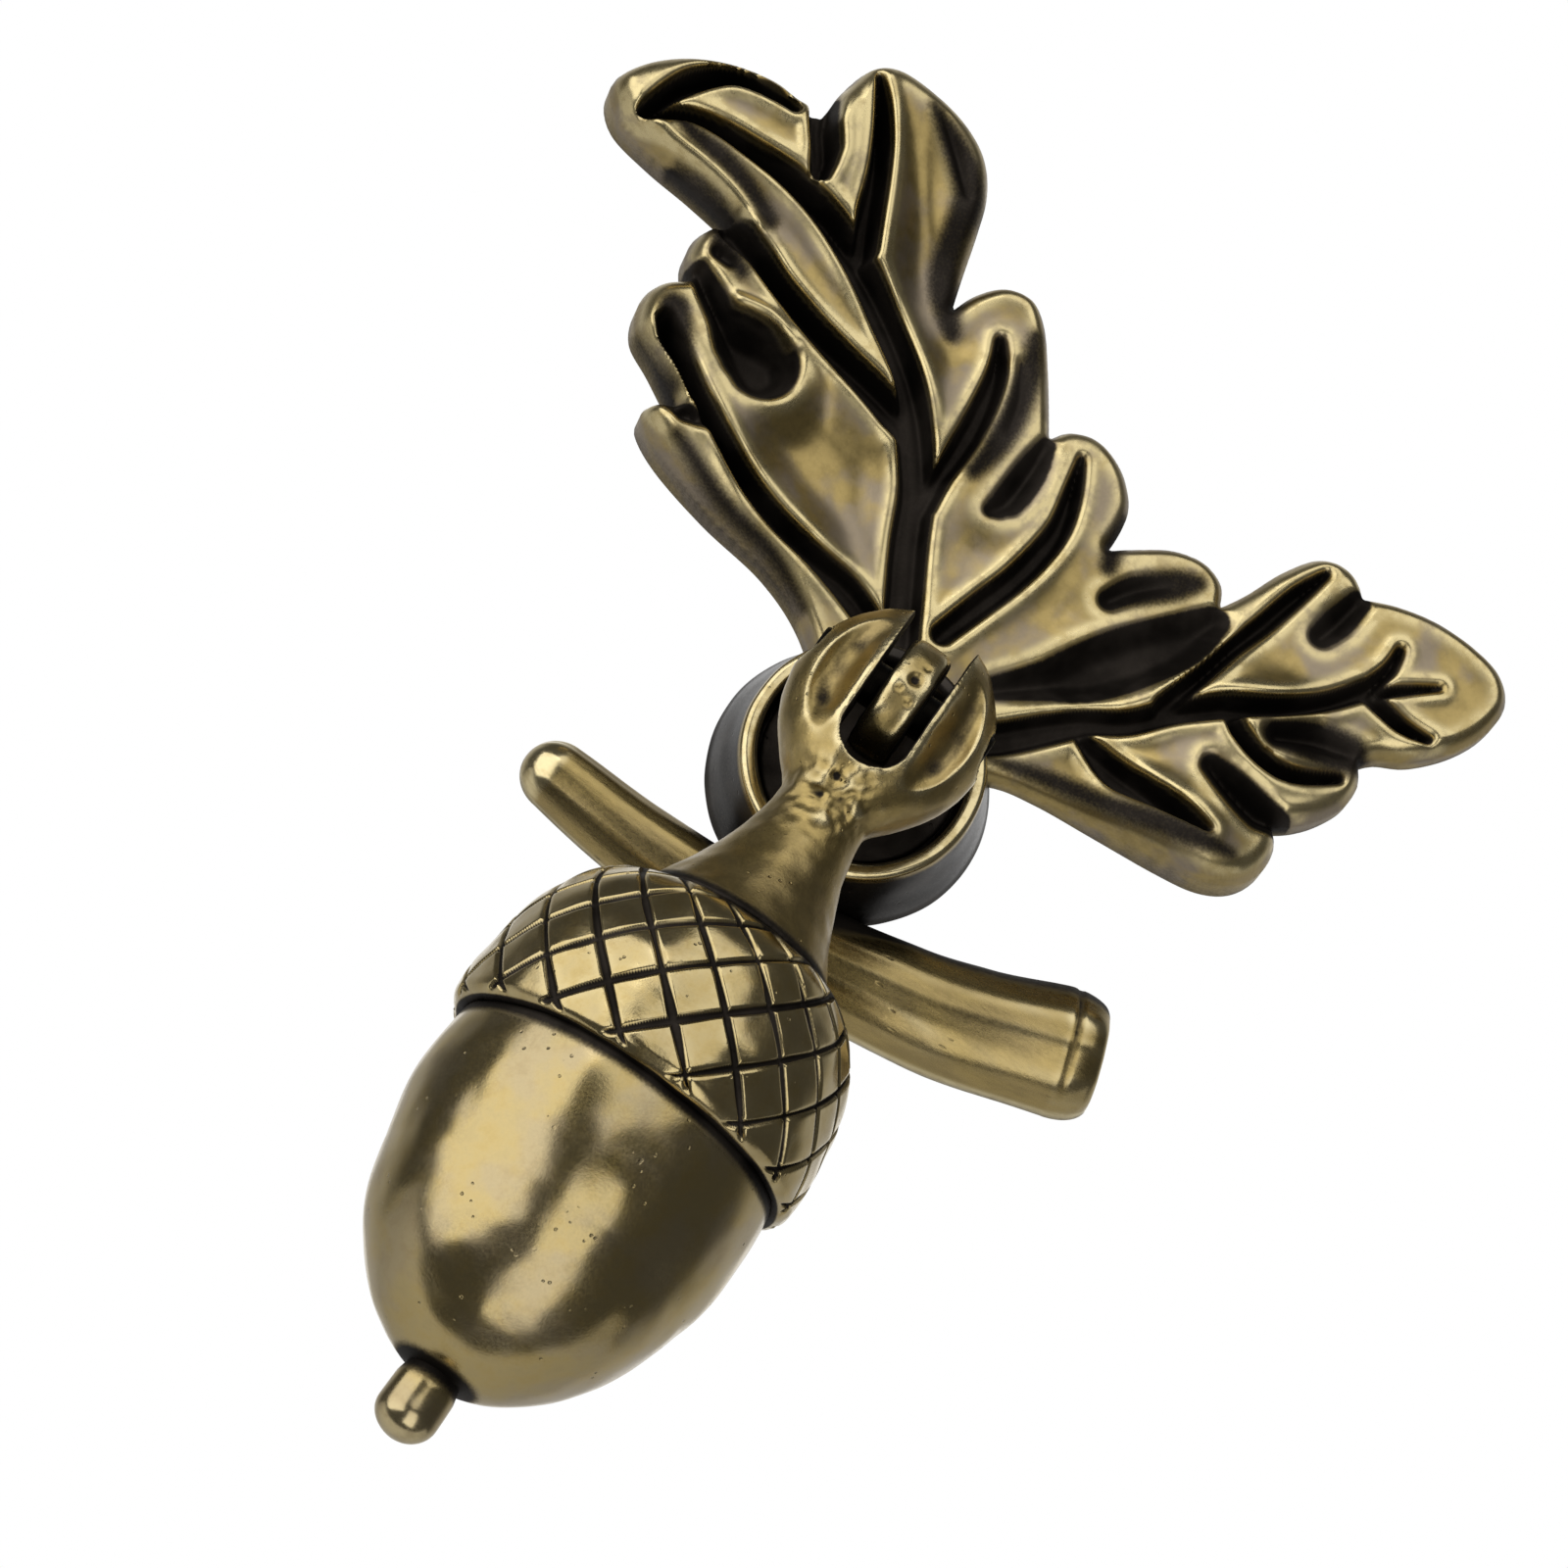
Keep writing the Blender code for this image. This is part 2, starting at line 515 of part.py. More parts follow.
def make_backplate(parts, cutters):
    outline = foliage_outline(OUTLINE_STEP)
    plate = slab_of("backplate", outline, foliage_points(outline), lambda p: relief(p, outline), parts)
    plate = baked(plate, parts)
    plate = combine(plate, make_twig(parts), "UNION", parts)
    plate = combine(plate, make_boss(parts), "UNION", parts)
    plate = combine(plate, boss_cutter(cutters), "DIFFERENCE", parts)
    below = box("below_back", (-TRIM_REACH, -TRIM_REACH, -TRIM_REACH), (TRIM_REACH, TRIM_REACH, 0), cutters)
    return combine(plate, below, "DIFFERENCE", parts)


def extruded(name, outline, thickness, collection):
    """A flat outline in the plane x = 0, as (y, z) points, thickened evenly to both sides."""
    flat = bpy.data.curves.new(name, "CURVE")
    flat.dimensions = "2D"
    flat.fill_mode = "BOTH"
    flat.extrude = thickness / 2 * MM
    spline = flat.splines.new("POLY")
    spline.points.add(len(outline) - 1)
    for point, (y, z) in zip(spline.points, outline):
        point.co = (y * MM, z * MM, 0.0, 1.0)
    spline.use_cyclic_u = True
    obj = link(name, flat, collection)
    obj.rotation_euler = (math.pi / 2, 0.0, math.pi / 2)
    return adopted(baked(obj, collection), collection)


def make_tongue(foot, cutters):
    """The standing plate of the eye: straight sides from the collar that run into its round end."""
    side = math.degrees(math.acos(EYE_NECK_WIDTH / 2 / EYE_RADIUS))
    end = arc((PIN_RISE, PIN_HEIGHT), EYE_RADIUS, -side, 180 + side, 24)
    low, high = PIN_RISE - EYE_NECK_WIDTH / 2, PIN_RISE + EYE_NECK_WIDTH / 2
    return extruded("tongue", [(high, foot)] + end + [(low, foot)], EYE_THICKNESS, cutters)


def make_eye_post(parts, cutters):
    """Shank and collar are turned; the tongue is a round-ended plate that stands across the pin."""
    seat = BOSS_HEIGHT - RECESS_DEPTH + SEAT_GAP
    collar_radius = BOSS_RIM_RADIUS - BOSS_RIM_WIDTH - SEAT_GAP
    dome = [(collar_radius * t, seat + COLLAR_THICKNESS + COLLAR_DOME * (1.0 - t * t) ** 2)
            for t in np.linspace(0.0, 1.0, 9)]
    hole_end = SHANK_SET_BACK + SCREW_HOLE_DEPTH
    profile = dome + [(collar_radius, seat), (SHANK_RADIUS, seat), (SHANK_RADIUS, SHANK_SET_BACK),
                      (0.0, SHANK_SET_BACK)]
    post = turned("eye_post", profile, parts)
    tongue = make_tongue(seat + COLLAR_THICKNESS / 2, cutters)
    bevel = tongue.modifiers.new("Round", "BEVEL")
    bevel.width = EYE_EDGE_ROUND * MM
    bevel.segments = 2
    bevel.limit_method = "ANGLE"
    bevel.angle_limit = math.radians(50)
    post = combine(post, baked(tongue, cutters), "UNION", parts)
    bore = rod("bore", PIN_RADIUS + PIN_FIT, EYE_THICKNESS, (0, PIN_RISE, PIN_HEIGHT), "X", cutters)
    post = combine(post, bore, "DIFFERENCE", parts)
    hole = turned("screw_hole", [(0.0, hole_end), (SCREW_HOLE_RADIUS, hole_end - SCREW_HOLE_CONE),
                                 (SCREW_HOLE_RADIUS, -1.0), (0.0, -1.0)], cutters, 32)
    return combine(post, hole, "DIFFERENCE", parts)


def cap_profile():
    """(radius, height) along the cap's engraved part: the dome from the flare down, then an upright side."""
    base = CAP_BOTTOM - CAP_BAND - CAP_SIDE
    rise = base - CAP_TOP
    shoulder = FLARE_RADIUS + 0.1
    found = []
    for a in np.radians(np.linspace(90, 0, 41)):
        r = shoulder + (CAP_RADIUS - shoulder) * math.cos(a) ** 0.92
        found.append((r, -(base - rise * math.sin(a) ** 1.15)))
    found.append((CAP_RADIUS, -(base + CAP_SIDE)))
    return np.array(found)


def groove_place(step):
    """Squeezes the four steps of a lattice cell towards its grooves."""
    cell, part = divmod(step, 4)
    return 4 * cell + (0.0, 4 * LATTICE_LINE_SHARE, 2.0, 4 - 4 * LATTICE_LINE_SHARE)[part]


def lattice_rows():
    """Rings of (angle, radius, height) over the dome, cut by two families of lines that cross slantwise."""
    profile = cap_profile()
    lengths = np.hypot(*np.diff(profile, axis=0).T)
    middle = (profile[1:, 0] + profile[:-1, 0]) / 2
    climb = np.concatenate([[0.0], np.cumsum(lengths / middle)])
    columns = 4 * LATTICE_LINES
    angle = 2 * math.pi / columns
    rows = round(climb[-1] / angle)
    slope = np.gradient(profile, axis=0)
    slope /= np.linalg.norm(slope, axis=1)[:, None]
    rings = []
    for j in range(rows + 1):
        ring = []
        for i in range(columns):
            p, q = i + j, i - j
            inner = 0 < j < rows
            u = (groove_place(p) + groove_place(q)) / 2 if inner else i
            v = (groove_place(p) - groove_place(q)) / 2 if inner else j
            at = min(max(v, 0.0), rows) / rows * climb[-1]
            r, h = np.interp(at, climb, profile[:, 0]), np.interp(at, climb, profile[:, 1])
            cut = LATTICE_DEPTH if (p % 4 == 0 or q % 4 == 0) and inner else 0.0
            nr, nh = -np.interp(at, climb, slope[:, 1]), np.interp(at, climb, slope[:, 0])
            ring.append((u * angle, r - cut * nr, h - cut * nh))
        rings.append(ring)
    return rings


def make_cap(parts):
    """The engraved dome and, under it, the plain band that rounds under and overhangs the nut."""
    rings = lattice_rows()
    columns = len(rings[0])
    engraved = len(rings) - 1
    for r, h in arc((CAP_RADIUS - CAP_ROLL, CAP_ROLL - CAP_BOTTOM), CAP_ROLL, 0, -80, 3):
        rings.append([(2 * math.pi * i / columns, r, h) for i in range(columns)])
    rings.append([(2 * math.pi * i / columns, NUT_RADIUS - CAP_ROLL, -CAP_BOTTOM) for i in range(columns)])
    points = [(r * math.cos(a) * MM, r * math.sin(a) * MM, h * MM) for ring in rings for a, r, h in ring]
    faces = []
    for j in range(len(rings) - 1):
        for i in range(columns):
            a, b = j * columns + i, j * columns + (i + 1) % columns
            c, d = a + columns, b + columns
            p, q = i + j, i - j
            along_groove = p % 4 == 1 if p % 2 else q % 4 == 0
            if j >= engraved:
                faces.append((a, c, d, b))
            elif along_groove:
                faces += [(a, c, d), (a, d, b)]
            else:
                faces += [(a, c, b), (b, c, d)]
    faces.append(tuple(range(columns)))
    faces.append(tuple(reversed(range((len(rings) - 1) * columns, len(rings) * columns))))
    return baked(mesh_object("cap", points, faces, parts), parts)


def stem_profile():
    """(radius, height) down the fork's egg shape, the waist of the neck and the trumpet onto the cap."""
    wide, top, waist = FORK_HALF_WIDTH, FORK_TOP, NECK_WAIST
    egg = [(0.0, top), (0.30 * wide, 0.97 * top), (0.55 * wide, 0.82 * top), (0.78 * wide, 0.53 * top),
           (0.94 * wide, 0.17 * top), (wide, -0.12 * waist), (0.95 * wide, -0.37 * waist),
           (0.83 * wide, -0.58 * waist)]
    neck = [(NECK_RADIUS + 0.36 * (wide - NECK_RADIUS), -0.76 * waist), (NECK_RADIUS * 1.08, -0.9 * waist),
            (NECK_RADIUS, -waist)]
    flare = [(NECK_RADIUS + (FLARE_RADIUS - NECK_RADIUS) * t**1.6, -(waist + (FLARE_END - waist) * t))
             for t in (0.25, 0.5, 0.75, 1.0)]
    return curve_through(egg + neck + flare, STEM_STEP)


def make_stem(parts):
    """Fork, neck and flare as one turned blank, flattened at the fork and round from the neck down."""
    inside_cap = -(CAP_TOP + 1.0)
    profile = [tuple(p) for p in stem_profile()] + [(FLARE_RADIUS * 0.8, inside_cap), (0.0, inside_cap)]
    stem = turned("acorn_drop", profile, parts, FORK_STEPS)
    for vertex in stem.data.vertices:
        flatten = float(smooth(-NECK_WAIST, -0.4 * NECK_WAIST, vertex.co.z / MM))
        vertex.co.y *= 1.0 - (1.0 - FORK_FLATNESS) * flatten
    return stem


def make_nut(parts):
    """The egg-shaped nut, from inside the cap down to its point."""
    length = NUT_BOTTOM - CAP_BOTTOM
    top = -(CAP_BOTTOM - CAP_BAND / 2)
    profile = [(0.0, top), (NUT_RADIUS - CAP_ROLL, top)]
    for t in np.linspace(0.0, 1.0, NUT_ROWS + 1)[:-1]:
        swell = 1.0 + NUT_SWELL * math.sin(math.pi * min(t / 0.45, 1.0))
        r = NUT_RADIUS * swell * (1.0 - t**3.1) ** 0.62
        profile.append((r, -(CAP_BOTTOM + length * t)))
    nub_base = -(NUT_BOTTOM - 0.45)
    tip = nub_base - NUB_LENGTH
    profile += [(NUB_RADIUS - 0.15, nub_base), (NUB_RADIUS, nub_base - 0.8)]
    profile += [(NUB_RADIUS * math.cos(a), tip + NUB_END * (1.0 - math.sin(a)))
                for a in np.radians([0, 30, 60, 80])]
    return turned("nut", profile + [(0.0, tip)], parts)


def make_slot(cutters):
    """The slot for the eye, open at the top, with a rounded bottom."""
    half = EYE_THICKNESS / 2 + EYE_SIDE_PLAY
    deep = FORK_HALF_WIDTH + 1.0
    slot = box("slot", (-half, -deep, half - SLOT_BOTTOM), (half, deep, FORK_TOP + 1.0), cutters)
    end = rod("slot_end", half, deep - 0.5, (0, 0, half - SLOT_BOTTOM), "Y", cutters)
    return combine(slot, end, "UNION", cutters)


def dish_cutters(cutters):
    """Long ovals in the front and the rear of both ears, square to the flattened surface."""
    made = []
    out = FORK_FLATNESS * math.sqrt(FORK_HALF_WIDTH**2 - DISH_OFFSET**2)
    facing = math.atan2(FORK_FLATNESS**2 * DISH_OFFSET, out)
    lift = DISH_TOOL_RADII[1] - DISH_DEPTH
    for side in (-1, 1):
        for face in (-1, 1):
            bpy.ops.mesh.primitive_uv_sphere_add(segments=20, ring_count=12, radius=MM)
            dish = bpy.context.active_object
            dish.name = "dish"
            dish.scale = DISH_TOOL_RADII
            dish.rotation_euler = (0.0, math.radians(DISH_LEAN * side), -facing * side * face)
            x = side * (DISH_OFFSET + lift * math.sin(facing))
            y = face * (out + lift * math.cos(facing))
            dish.location = (x * MM, y * MM, -DISH_DROP * MM)
            made.append(adopted(dish, cutters))
    return made


def make_drop(parts, cutters):
    drop = make_stem(parts)
    drop = combine(drop, make_cap(parts), "UNION", parts)
    drop = combine(drop, make_nut(parts), "UNION", parts)
    drop = combine(drop, make_slot(cutters), "DIFFERENCE", parts)
    for dish in dish_cutters(cutters):
        drop = combine(drop, dish, "DIFFERENCE", parts)
    bore = rod("cross_hole", PIN_RADIUS + PIN_FIT, FORK_HALF_WIDTH + 2.0, (0, 0, 0), "X", cutters)
    return combine(drop, bore, "DIFFERENCE", parts)


def make_pin(parts):
    half = FORK_HALF_WIDTH - PIN_END_SET_BACK
    pin = rod("pivot_pin", PIN_RADIUS, half, (0, 0, 0), "X", parts)
    bevel = pin.modifiers.new("Ends", "BEVEL")
    bevel.width = 0.15 * MM
    bevel.segments = 1
    bevel.limit_method = "ANGLE"
    bevel.angle_limit = math.radians(60)
    return pin


def shade(obj, material):
    obj.data.materials.clear()
    obj.data.materials.append(material)
    obj.data.shade_smooth()
    obj.data.set_sharp_from_angle(angle=math.radians(40))


def main():
    clear_scene()
    parts = new_collection("acorn_drop_pull")
    cutters = new_collection("cutters", hidden=True)
    lying = bpy.data.objects.new("mounting_face", None)
    parts.objects.link(lying)
    hinge = bpy.data.objects.new("hinge_axis", None)
    parts.objects.link(hinge)
    plate = make_backplate(parts, cutters)
    post = make_eye_post(parts, cutters)
    drop = make_drop(parts, cutters)
    pin = make_pin(parts)
    for obj in (plate, post):
        obj.parent = lying
    lying.rotation_euler = (math.pi / 2, 0.0, 0.0)
    hinge.location = (0.0, -PIN_HEIGHT * MM, PIN_RISE * MM)
    for obj in (drop, pin):
        obj.parent = hinge
    shade(plate, metal("backplate_brass", (0.36, 0.29, 0.15), 0.35))
    shade(post, metal("eye_post_brass", (0.33, 0.27, 0.14), 0.45))
    shade(drop, metal("acorn_brass", (0.40, 0.33, 0.17), 0.3))
    shade(pin, metal("pin_steel", (0.25, 0.22, 0.18), 0.4))


main()
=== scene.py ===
"""Looks of the acorn drop pull: antique brass oak leaves with a twig and a boss, an eye post, and an
acorn that swings on a cross pin. The object's sizes are millimetres in the part's own frame: the back
lies in the plane y = 0, the front faces -Y, and leaf points are (X, Z) seen from the front. The camera
and the studio are in metres."""

import math

import bmesh
import bpy
import numpy as np
from mathutils import Matrix, Vector, noise


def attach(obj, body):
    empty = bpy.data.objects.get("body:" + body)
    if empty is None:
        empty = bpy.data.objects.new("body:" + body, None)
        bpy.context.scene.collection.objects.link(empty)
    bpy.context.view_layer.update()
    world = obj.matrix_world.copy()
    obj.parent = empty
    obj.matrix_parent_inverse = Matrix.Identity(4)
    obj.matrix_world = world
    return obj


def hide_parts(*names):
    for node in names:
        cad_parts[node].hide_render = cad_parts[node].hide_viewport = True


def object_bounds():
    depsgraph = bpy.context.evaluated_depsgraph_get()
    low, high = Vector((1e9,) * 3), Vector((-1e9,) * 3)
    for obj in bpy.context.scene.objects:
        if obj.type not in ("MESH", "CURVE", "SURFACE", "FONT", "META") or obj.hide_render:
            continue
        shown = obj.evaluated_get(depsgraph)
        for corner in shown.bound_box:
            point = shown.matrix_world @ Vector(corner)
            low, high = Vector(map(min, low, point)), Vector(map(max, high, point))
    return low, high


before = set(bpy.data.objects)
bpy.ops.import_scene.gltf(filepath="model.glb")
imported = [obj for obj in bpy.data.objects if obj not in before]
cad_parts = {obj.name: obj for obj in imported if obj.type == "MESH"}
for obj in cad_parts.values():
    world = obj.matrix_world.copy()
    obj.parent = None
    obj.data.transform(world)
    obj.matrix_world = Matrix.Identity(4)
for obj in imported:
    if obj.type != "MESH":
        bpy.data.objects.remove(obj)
cad_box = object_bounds()

MM = 0.001

# Boss and the collar's seat in it
BOSS_BASE_RADIUS = 7.45
BOSS_RIM_RADIUS = 6.4
BOSS_HEIGHT = 5.15
BOSS_RIM_WIDTH = 0.9
BOSS_EDGE_ROUND = 0.35
BOSS_INNER_ROUND = 0.3
RECESS_DEPTH = 2.2
SHANK_HOLE_RADIUS = 3.2
LEAF_CUT_RADIUS = 6.9

# Eye post
SHANK_RADIUS = 2.9
SHANK_SET_BACK = 0.3
COLLAR_THICKNESS = 0.7
COLLAR_DOME = 3.2
SCREW_HOLE_RADIUS = 1.65
SCREW_HOLE_DEPTH = 5.2
SCREW_HOLE_CONE = 0.8
EYE_RADIUS = 3.3
EYE_THICKNESS = 2.3
EYE_EDGE_ROUND = 0.55
EYE_NECK_WIDTH = 5.6
POST_VOXEL = 0.13
SEAT_GAP = 0.3

# Hinge
PIN_HEIGHT = 12.8
PIN_RISE = 0.8
PIN_RADIUS = 1.2
PIN_HALF_LENGTH = 5.1
PIN_FIT = 0.04

# Drop, measured down from the pin
FORK_HALF_WIDTH = 5.45
FORK_FLATNESS = 0.68
FORK_TOP = 4.6
SLOT_HALF_WIDTH = 1.85
SLOT_BOTTOM = 4.9
FORK_VOXEL = 0.12
DISH_OFFSET = 3.35
DISH_MIDDLE = -1.0
DISH_HALF_LENGTH = 3.6
DISH_HALF_WIDTH = 1.15
DISH_BEND = 0.05
DISH_DEPTH = 1.0
NECK_RADIUS = 2.45
NECK_WAIST = 7.5
FLARE_END = 15.4
FLARE_RADIUS = 5.45
CAP_TOP = 15.7
CAP_BOTTOM = 26.3
CAP_RADIUS = 10.0
CAP_SIDE = 0.8
CAP_BAND = 1.1
CAP_ROLL = 0.85
LATTICE_LINES = 16
LATTICE_DEPTH = 0.24
COLUMNS_PER_LINE = 38
GROOVE_HALF_WIDTH = 0.15
NUT_RADIUS = 9.1
NUT_BOTTOM = 42.9
NUT_SWELL = 0.03
NUB_RADIUS = 1.65
NUB_LENGTH = 3.7
NUB_END = 1.4

# Rough casting under the slot: middle and reach of the patch, and the marks on its front, each with X, Z,
# radius and height
ROUGH_MIDDLE = -6.9
ROUGH_REACH = 2.1
CASTING_MARKS = [
    (-1.5, -6.9, 1.0, 0.22), (1.3, -6.9, 0.9, 0.20), (-0.5, -6.1, 0.45, -0.22), (0.2, -8.3, 0.9, 0.14),
]

# Pits in the round end of the eye: X, Z from the pin, radius and depth
EYE_PITS = [
    (0.1, 0.3, 0.55, 0.28), (-0.35, -0.5, 0.3, 0.15), (0.45, -0.9, 0.35, 0.12), (0.3, 1.2, 0.25, 0.1),
]

# Sides of the turned pieces: fine where the shape shows as it is, coarser under a new skin
FINE_SIDES = 300
SKIN_SIDES = 96
PIN_SIDES = 64

# Leaf relief: the grid, the rounded rims, the sagging panels, the veins with their lips, the hollows and
# the folds; the blurs are in grid steps
LEAF_SPAN_X = (-32.0, 27.0)
LEAF_SPAN_Z = (1.0, 35.0)
GRID_STEP = 0.12
OUTLINE_STEP = 0.35
VEIN_STEP = 0.6
RIM_LEAST = 0.35
RIM_PER_HEIGHT = 0.2
RIM_SHARE = 0.38
BEAD_WIDTH = 0.5
SAG_SHARE = 0.30
SAG_WIDTH = 1.8
SAG_REACH = 2.4
SAG_BLUR = 5.0
SKIN_BLUR = 1.0
RELIEF_BLUR = 6.0
VEIN_LIP = 0.12
VEIN_LIP_PLACE = 0.4
VEIN_LIP_WIDTH = 0.32
VEIN_WALL = 0.36
VEIN_FLOOR_SHARE = 0.30
HOLLOW_FLOOR_SHARE = 0.30
HOLLOW_SIDE = 1.5
HOLLOW_LIP = 0.25
FOLD_HEIGHT = 0.45
FOLD_WIDTH = 0.35
SHADE_STRENGTH = 0.85
CREST_REACH = 3.2

# Outline of the two leaves, lobe by lobe and clockwise from the lower left: the first point of each
# lobe is a sharp valley, and a smooth curve passes through the rest
LOBES = [
    [(-3.4, 2.6), (-6.5, 5.2), (-9.7, 6.6), (-13.8, 7.3), (-17.5, 8.3), (-19.5, 9.4), (-19.5, 10.3)],
    [(-18.4, 11.0), (-20.6, 12.3), (-22.4, 13.3), (-23.1, 14.8), (-22.8, 16.2)],
    [(-21.7, 17.2), (-22.5, 18.2), (-22.7, 19.3), (-22.3, 20.4)],
    [(-21.5, 21.2), (-24.2, 21.6), (-27.0, 21.9), (-29.6, 22.5), (-30.9, 23.9), (-30.4, 25.5),
        (-28.8, 27.2), (-26.4, 28.5), (-24.0, 29.0), (-22.2, 28.9)],
    [(-21.0, 29.2), (-20.8, 31.2), (-20.3, 32.8), (-19.0, 33.7), (-16.8, 33.8), (-14.6, 33.4),
        (-12.7, 32.4), (-11.5, 30.8), (-10.8, 28.8), (-10.1, 26.3)],
    [(-9.6, 24.6), (-9.1, 26.0), (-8.0, 27.3), (-6.4, 27.6), (-5.1, 26.7), (-3.8, 25.0), (-2.5, 23.1)],
    [(-1.6, 21.7), (-0.9, 22.7), (0.6, 23.2), (2.4, 22.6), (3.8, 21.2), (4.2, 19.7)],
    [(4.2, 18.5), (5.4, 19.5), (7.0, 20.6), (8.7, 21.0), (10.1, 20.5)],
    [(10.7, 19.4), (11.5, 20.9), (12.3, 22.8), (13.4, 24.5), (14.6, 25.1), (15.8, 24.9)],
    [(16.6, 24.2), (18.2, 24.9), (20.4, 25.4), (22.8, 25.4), (24.8, 24.9), (25.9, 23.6), (25.8, 21.7),
        (24.9, 19.8), (23.4, 18.1), (21.9, 17.2)],
    [(21.2, 16.4), (21.8, 15.4), (21.8, 14.0), (21.1, 12.5), (20.2, 11.4)],
    [(19.3, 10.7), (20.0, 9.7), (20.1, 8.2), (19.4, 6.8), (17.9, 5.9), (15.6, 5.5), (12.0, 5.2),
        (8.5, 4.9), (6.0, 4.3), (3.0, 2.4)],
]

# Sunk veins: points from base to tip, each with the half width of the channel there
VEINS = {
    "left_midrib": [(-0.6, 5.0, 0.95), (-3.0, 9.5, 0.98), (-4.5, 12.3, 0.98), (-5.8, 15.0, 0.94),
        (-7.5, 17.3, 0.98), (-9.3, 19.4, 0.79), (-11.8, 21.2, 0.85), (-14.7, 22.8, 0.85),
        (-17.6, 24.0, 0.76), (-20.2, 24.5, 0.66), (-22.6, 24.6, 0.53), (-24.9, 24.6, 0.42),
        (-26.7, 24.2, 0.34), (-28.3, 23.1, 0.38)],
    "left_top": [(-15.1, 23.8, 0.68), (-15.9, 25.5, 0.68), (-16.7, 27.5, 0.57), (-17.6, 29.3, 0.51),
        (-18.7, 31.0, 0.38), (-19.6, 32.1, 0.19)],
    "left_notch": [(-19.3, 25.8, 0.57), (-19.8, 27.1, 0.79), (-20.7, 28.3, 0.8), (-21.3, 29.6, 0.8)],
    "left_tip": [(-28.6, 23.1, 0.38), (-28.0, 24.8, 0.57), (-27.2, 26.3, 0.66), (-25.9, 27.5, 0.57),
        (-24.1, 27.9, 0.47), (-22.3, 27.9, 0.34)],
    "left_fold": [(-8.2, 17.2, 0.75), (-9.0, 17.4, 0.85), (-11.0, 17.9, 0.79), (-13.1, 18.3, 0.72),
        (-15.2, 18.7, 0.66), (-17.6, 19.4, 0.6), (-19.4, 20.1, 0.66), (-21.2, 20.5, 0.8)],
    "left_loop": [(-3.6, 7.4, 0.7), (-5.8, 8.2, 0.76), (-8.1, 8.5, 0.6), (-10.6, 8.9, 0.57),
        (-13.3, 9.7, 0.51), (-15.5, 10.6, 0.47), (-17.7, 11.8, 0.42), (-19.4, 12.9, 0.47),
        (-20.8, 13.7, 0.57), (-21.4, 14.2, 0.47)],
    "left_right_lobe": [(-5.1, 14.5, 0.76), (-5.1, 16.3, 0.57), (-5.1, 18.4, 0.66), (-5.3, 20.6, 0.66),
        (-5.8, 22.9, 0.53), (-6.6, 24.4, 0.28)],
    "left_low": [(-0.4, 9.2, 0.6), (0.4, 11.8, 0.66), (1.0, 13.7, 0.66), (1.4, 15.7, 0.66),
        (1.5, 17.7, 0.6), (1.0, 19.8, 0.47), (0.4, 21.5, 0.19)],
    "right_midrib": [(3.4, 4.9, 0.8), (5.1, 6.3, 0.9), (6.9, 8.2, 0.84), (8.4, 9.7, 0.7),
        (10.2, 10.9, 0.66), (11.9, 12.7, 0.66), (13.7, 14.2, 0.7), (16.0, 15.9, 0.56), (18.0, 17.9, 0.5),
        (19.4, 19.8, 0.56)],
    "right_tip_up": [(19.4, 19.8, 0.5), (19.8, 21.4, 0.36), (19.7, 22.6, 0.24)],
    "right_tip_down": [(19.6, 19.6, 0.5), (21.9, 19.2, 0.4), (23.5, 19.4, 0.24)],
    "right_tip_middle": [(20.0, 20.0, 0.36), (21.5, 21.3, 0.24), (22.5, 22.1, 0.16)],
    "right_top": [(11.2, 12.6, 0.6), (12.0, 15.6, 0.5), (12.5, 17.8, 0.5), (13.1, 19.8, 0.54),
        (13.7, 22.1, 0.5), (14.3, 23.9, 0.24)],
    "right_low": [(8.6, 8.8, 0.4), (10.9, 8.1, 0.76), (12.9, 8.0, 0.7), (14.9, 7.9, 0.5),
        (16.6, 7.8, 0.16)],
    "right_curl": [(14.2, 14.2, 0.44), (15.0, 13.5, 0.44), (16.8, 13.0, 0.44), (18.6, 13.3, 0.44),
        (20.7, 14.8, 0.3)],
}

# Hollows and gaps between lobes: as the veins, but with soft round sides
HOLLOWS = {
    "left_pocket": [(-21.5, 17.6, 0.66), (-20.3, 16.9, 0.8), (-18.8, 16.1, 1.0), (-17.3, 15.6, 1.7),
        (-16.0, 15.3, 2.1)],
    "left_small": [(-21.2, 19.0, 0.5), (-20.4, 18.9, 0.4)],
    "left_low_notch": [(-19.0, 10.5, 0.38), (-17.8, 10.5, 0.66), (-16.6, 10.7, 0.38)],
    "left_gap": [(-1.5, 21.0, 0.6), (-1.4, 19.3, 0.95), (-1.5, 17.3, 0.95), (-2.0, 16.3, 0.5)],
    "left_side": [(-5.0, 23.9, 0.2), (-4.0, 22.3, 0.35), (-3.5, 20.4, 0.2)],
    "left_top_side": [(-15.7, 32.5, 0.1), (-14.0, 31.2, 0.3), (-12.3, 29.6, 0.2)],
    "between": [(3.2, 8.2, 0.7), (5.4, 10.3, 1.2), (6.8, 11.8, 1.7), (8.3, 13.8, 1.9), (9.9, 16.2, 1.7),
        (10.8, 18.3, 1.0)],
    "right_small": [(5.7, 16.0, 0.7), (6.5, 17.4, 0.8), (7.7, 18.6, 0.5)],
    "right_top_side": [(15.9, 20.9, 0.8), (16.2, 22.0, 0.96), (16.5, 23.6, 0.8)],
    "right_panel": [(16.8, 14.6, 0.8), (18.6, 15.8, 0.9), (20.4, 16.3, 0.6)],
    "right_pocket": [(14.9, 11.1, 0.7), (16.4, 10.8, 1.0), (18.3, 10.5, 1.1), (19.6, 10.7, 0.8)],
}

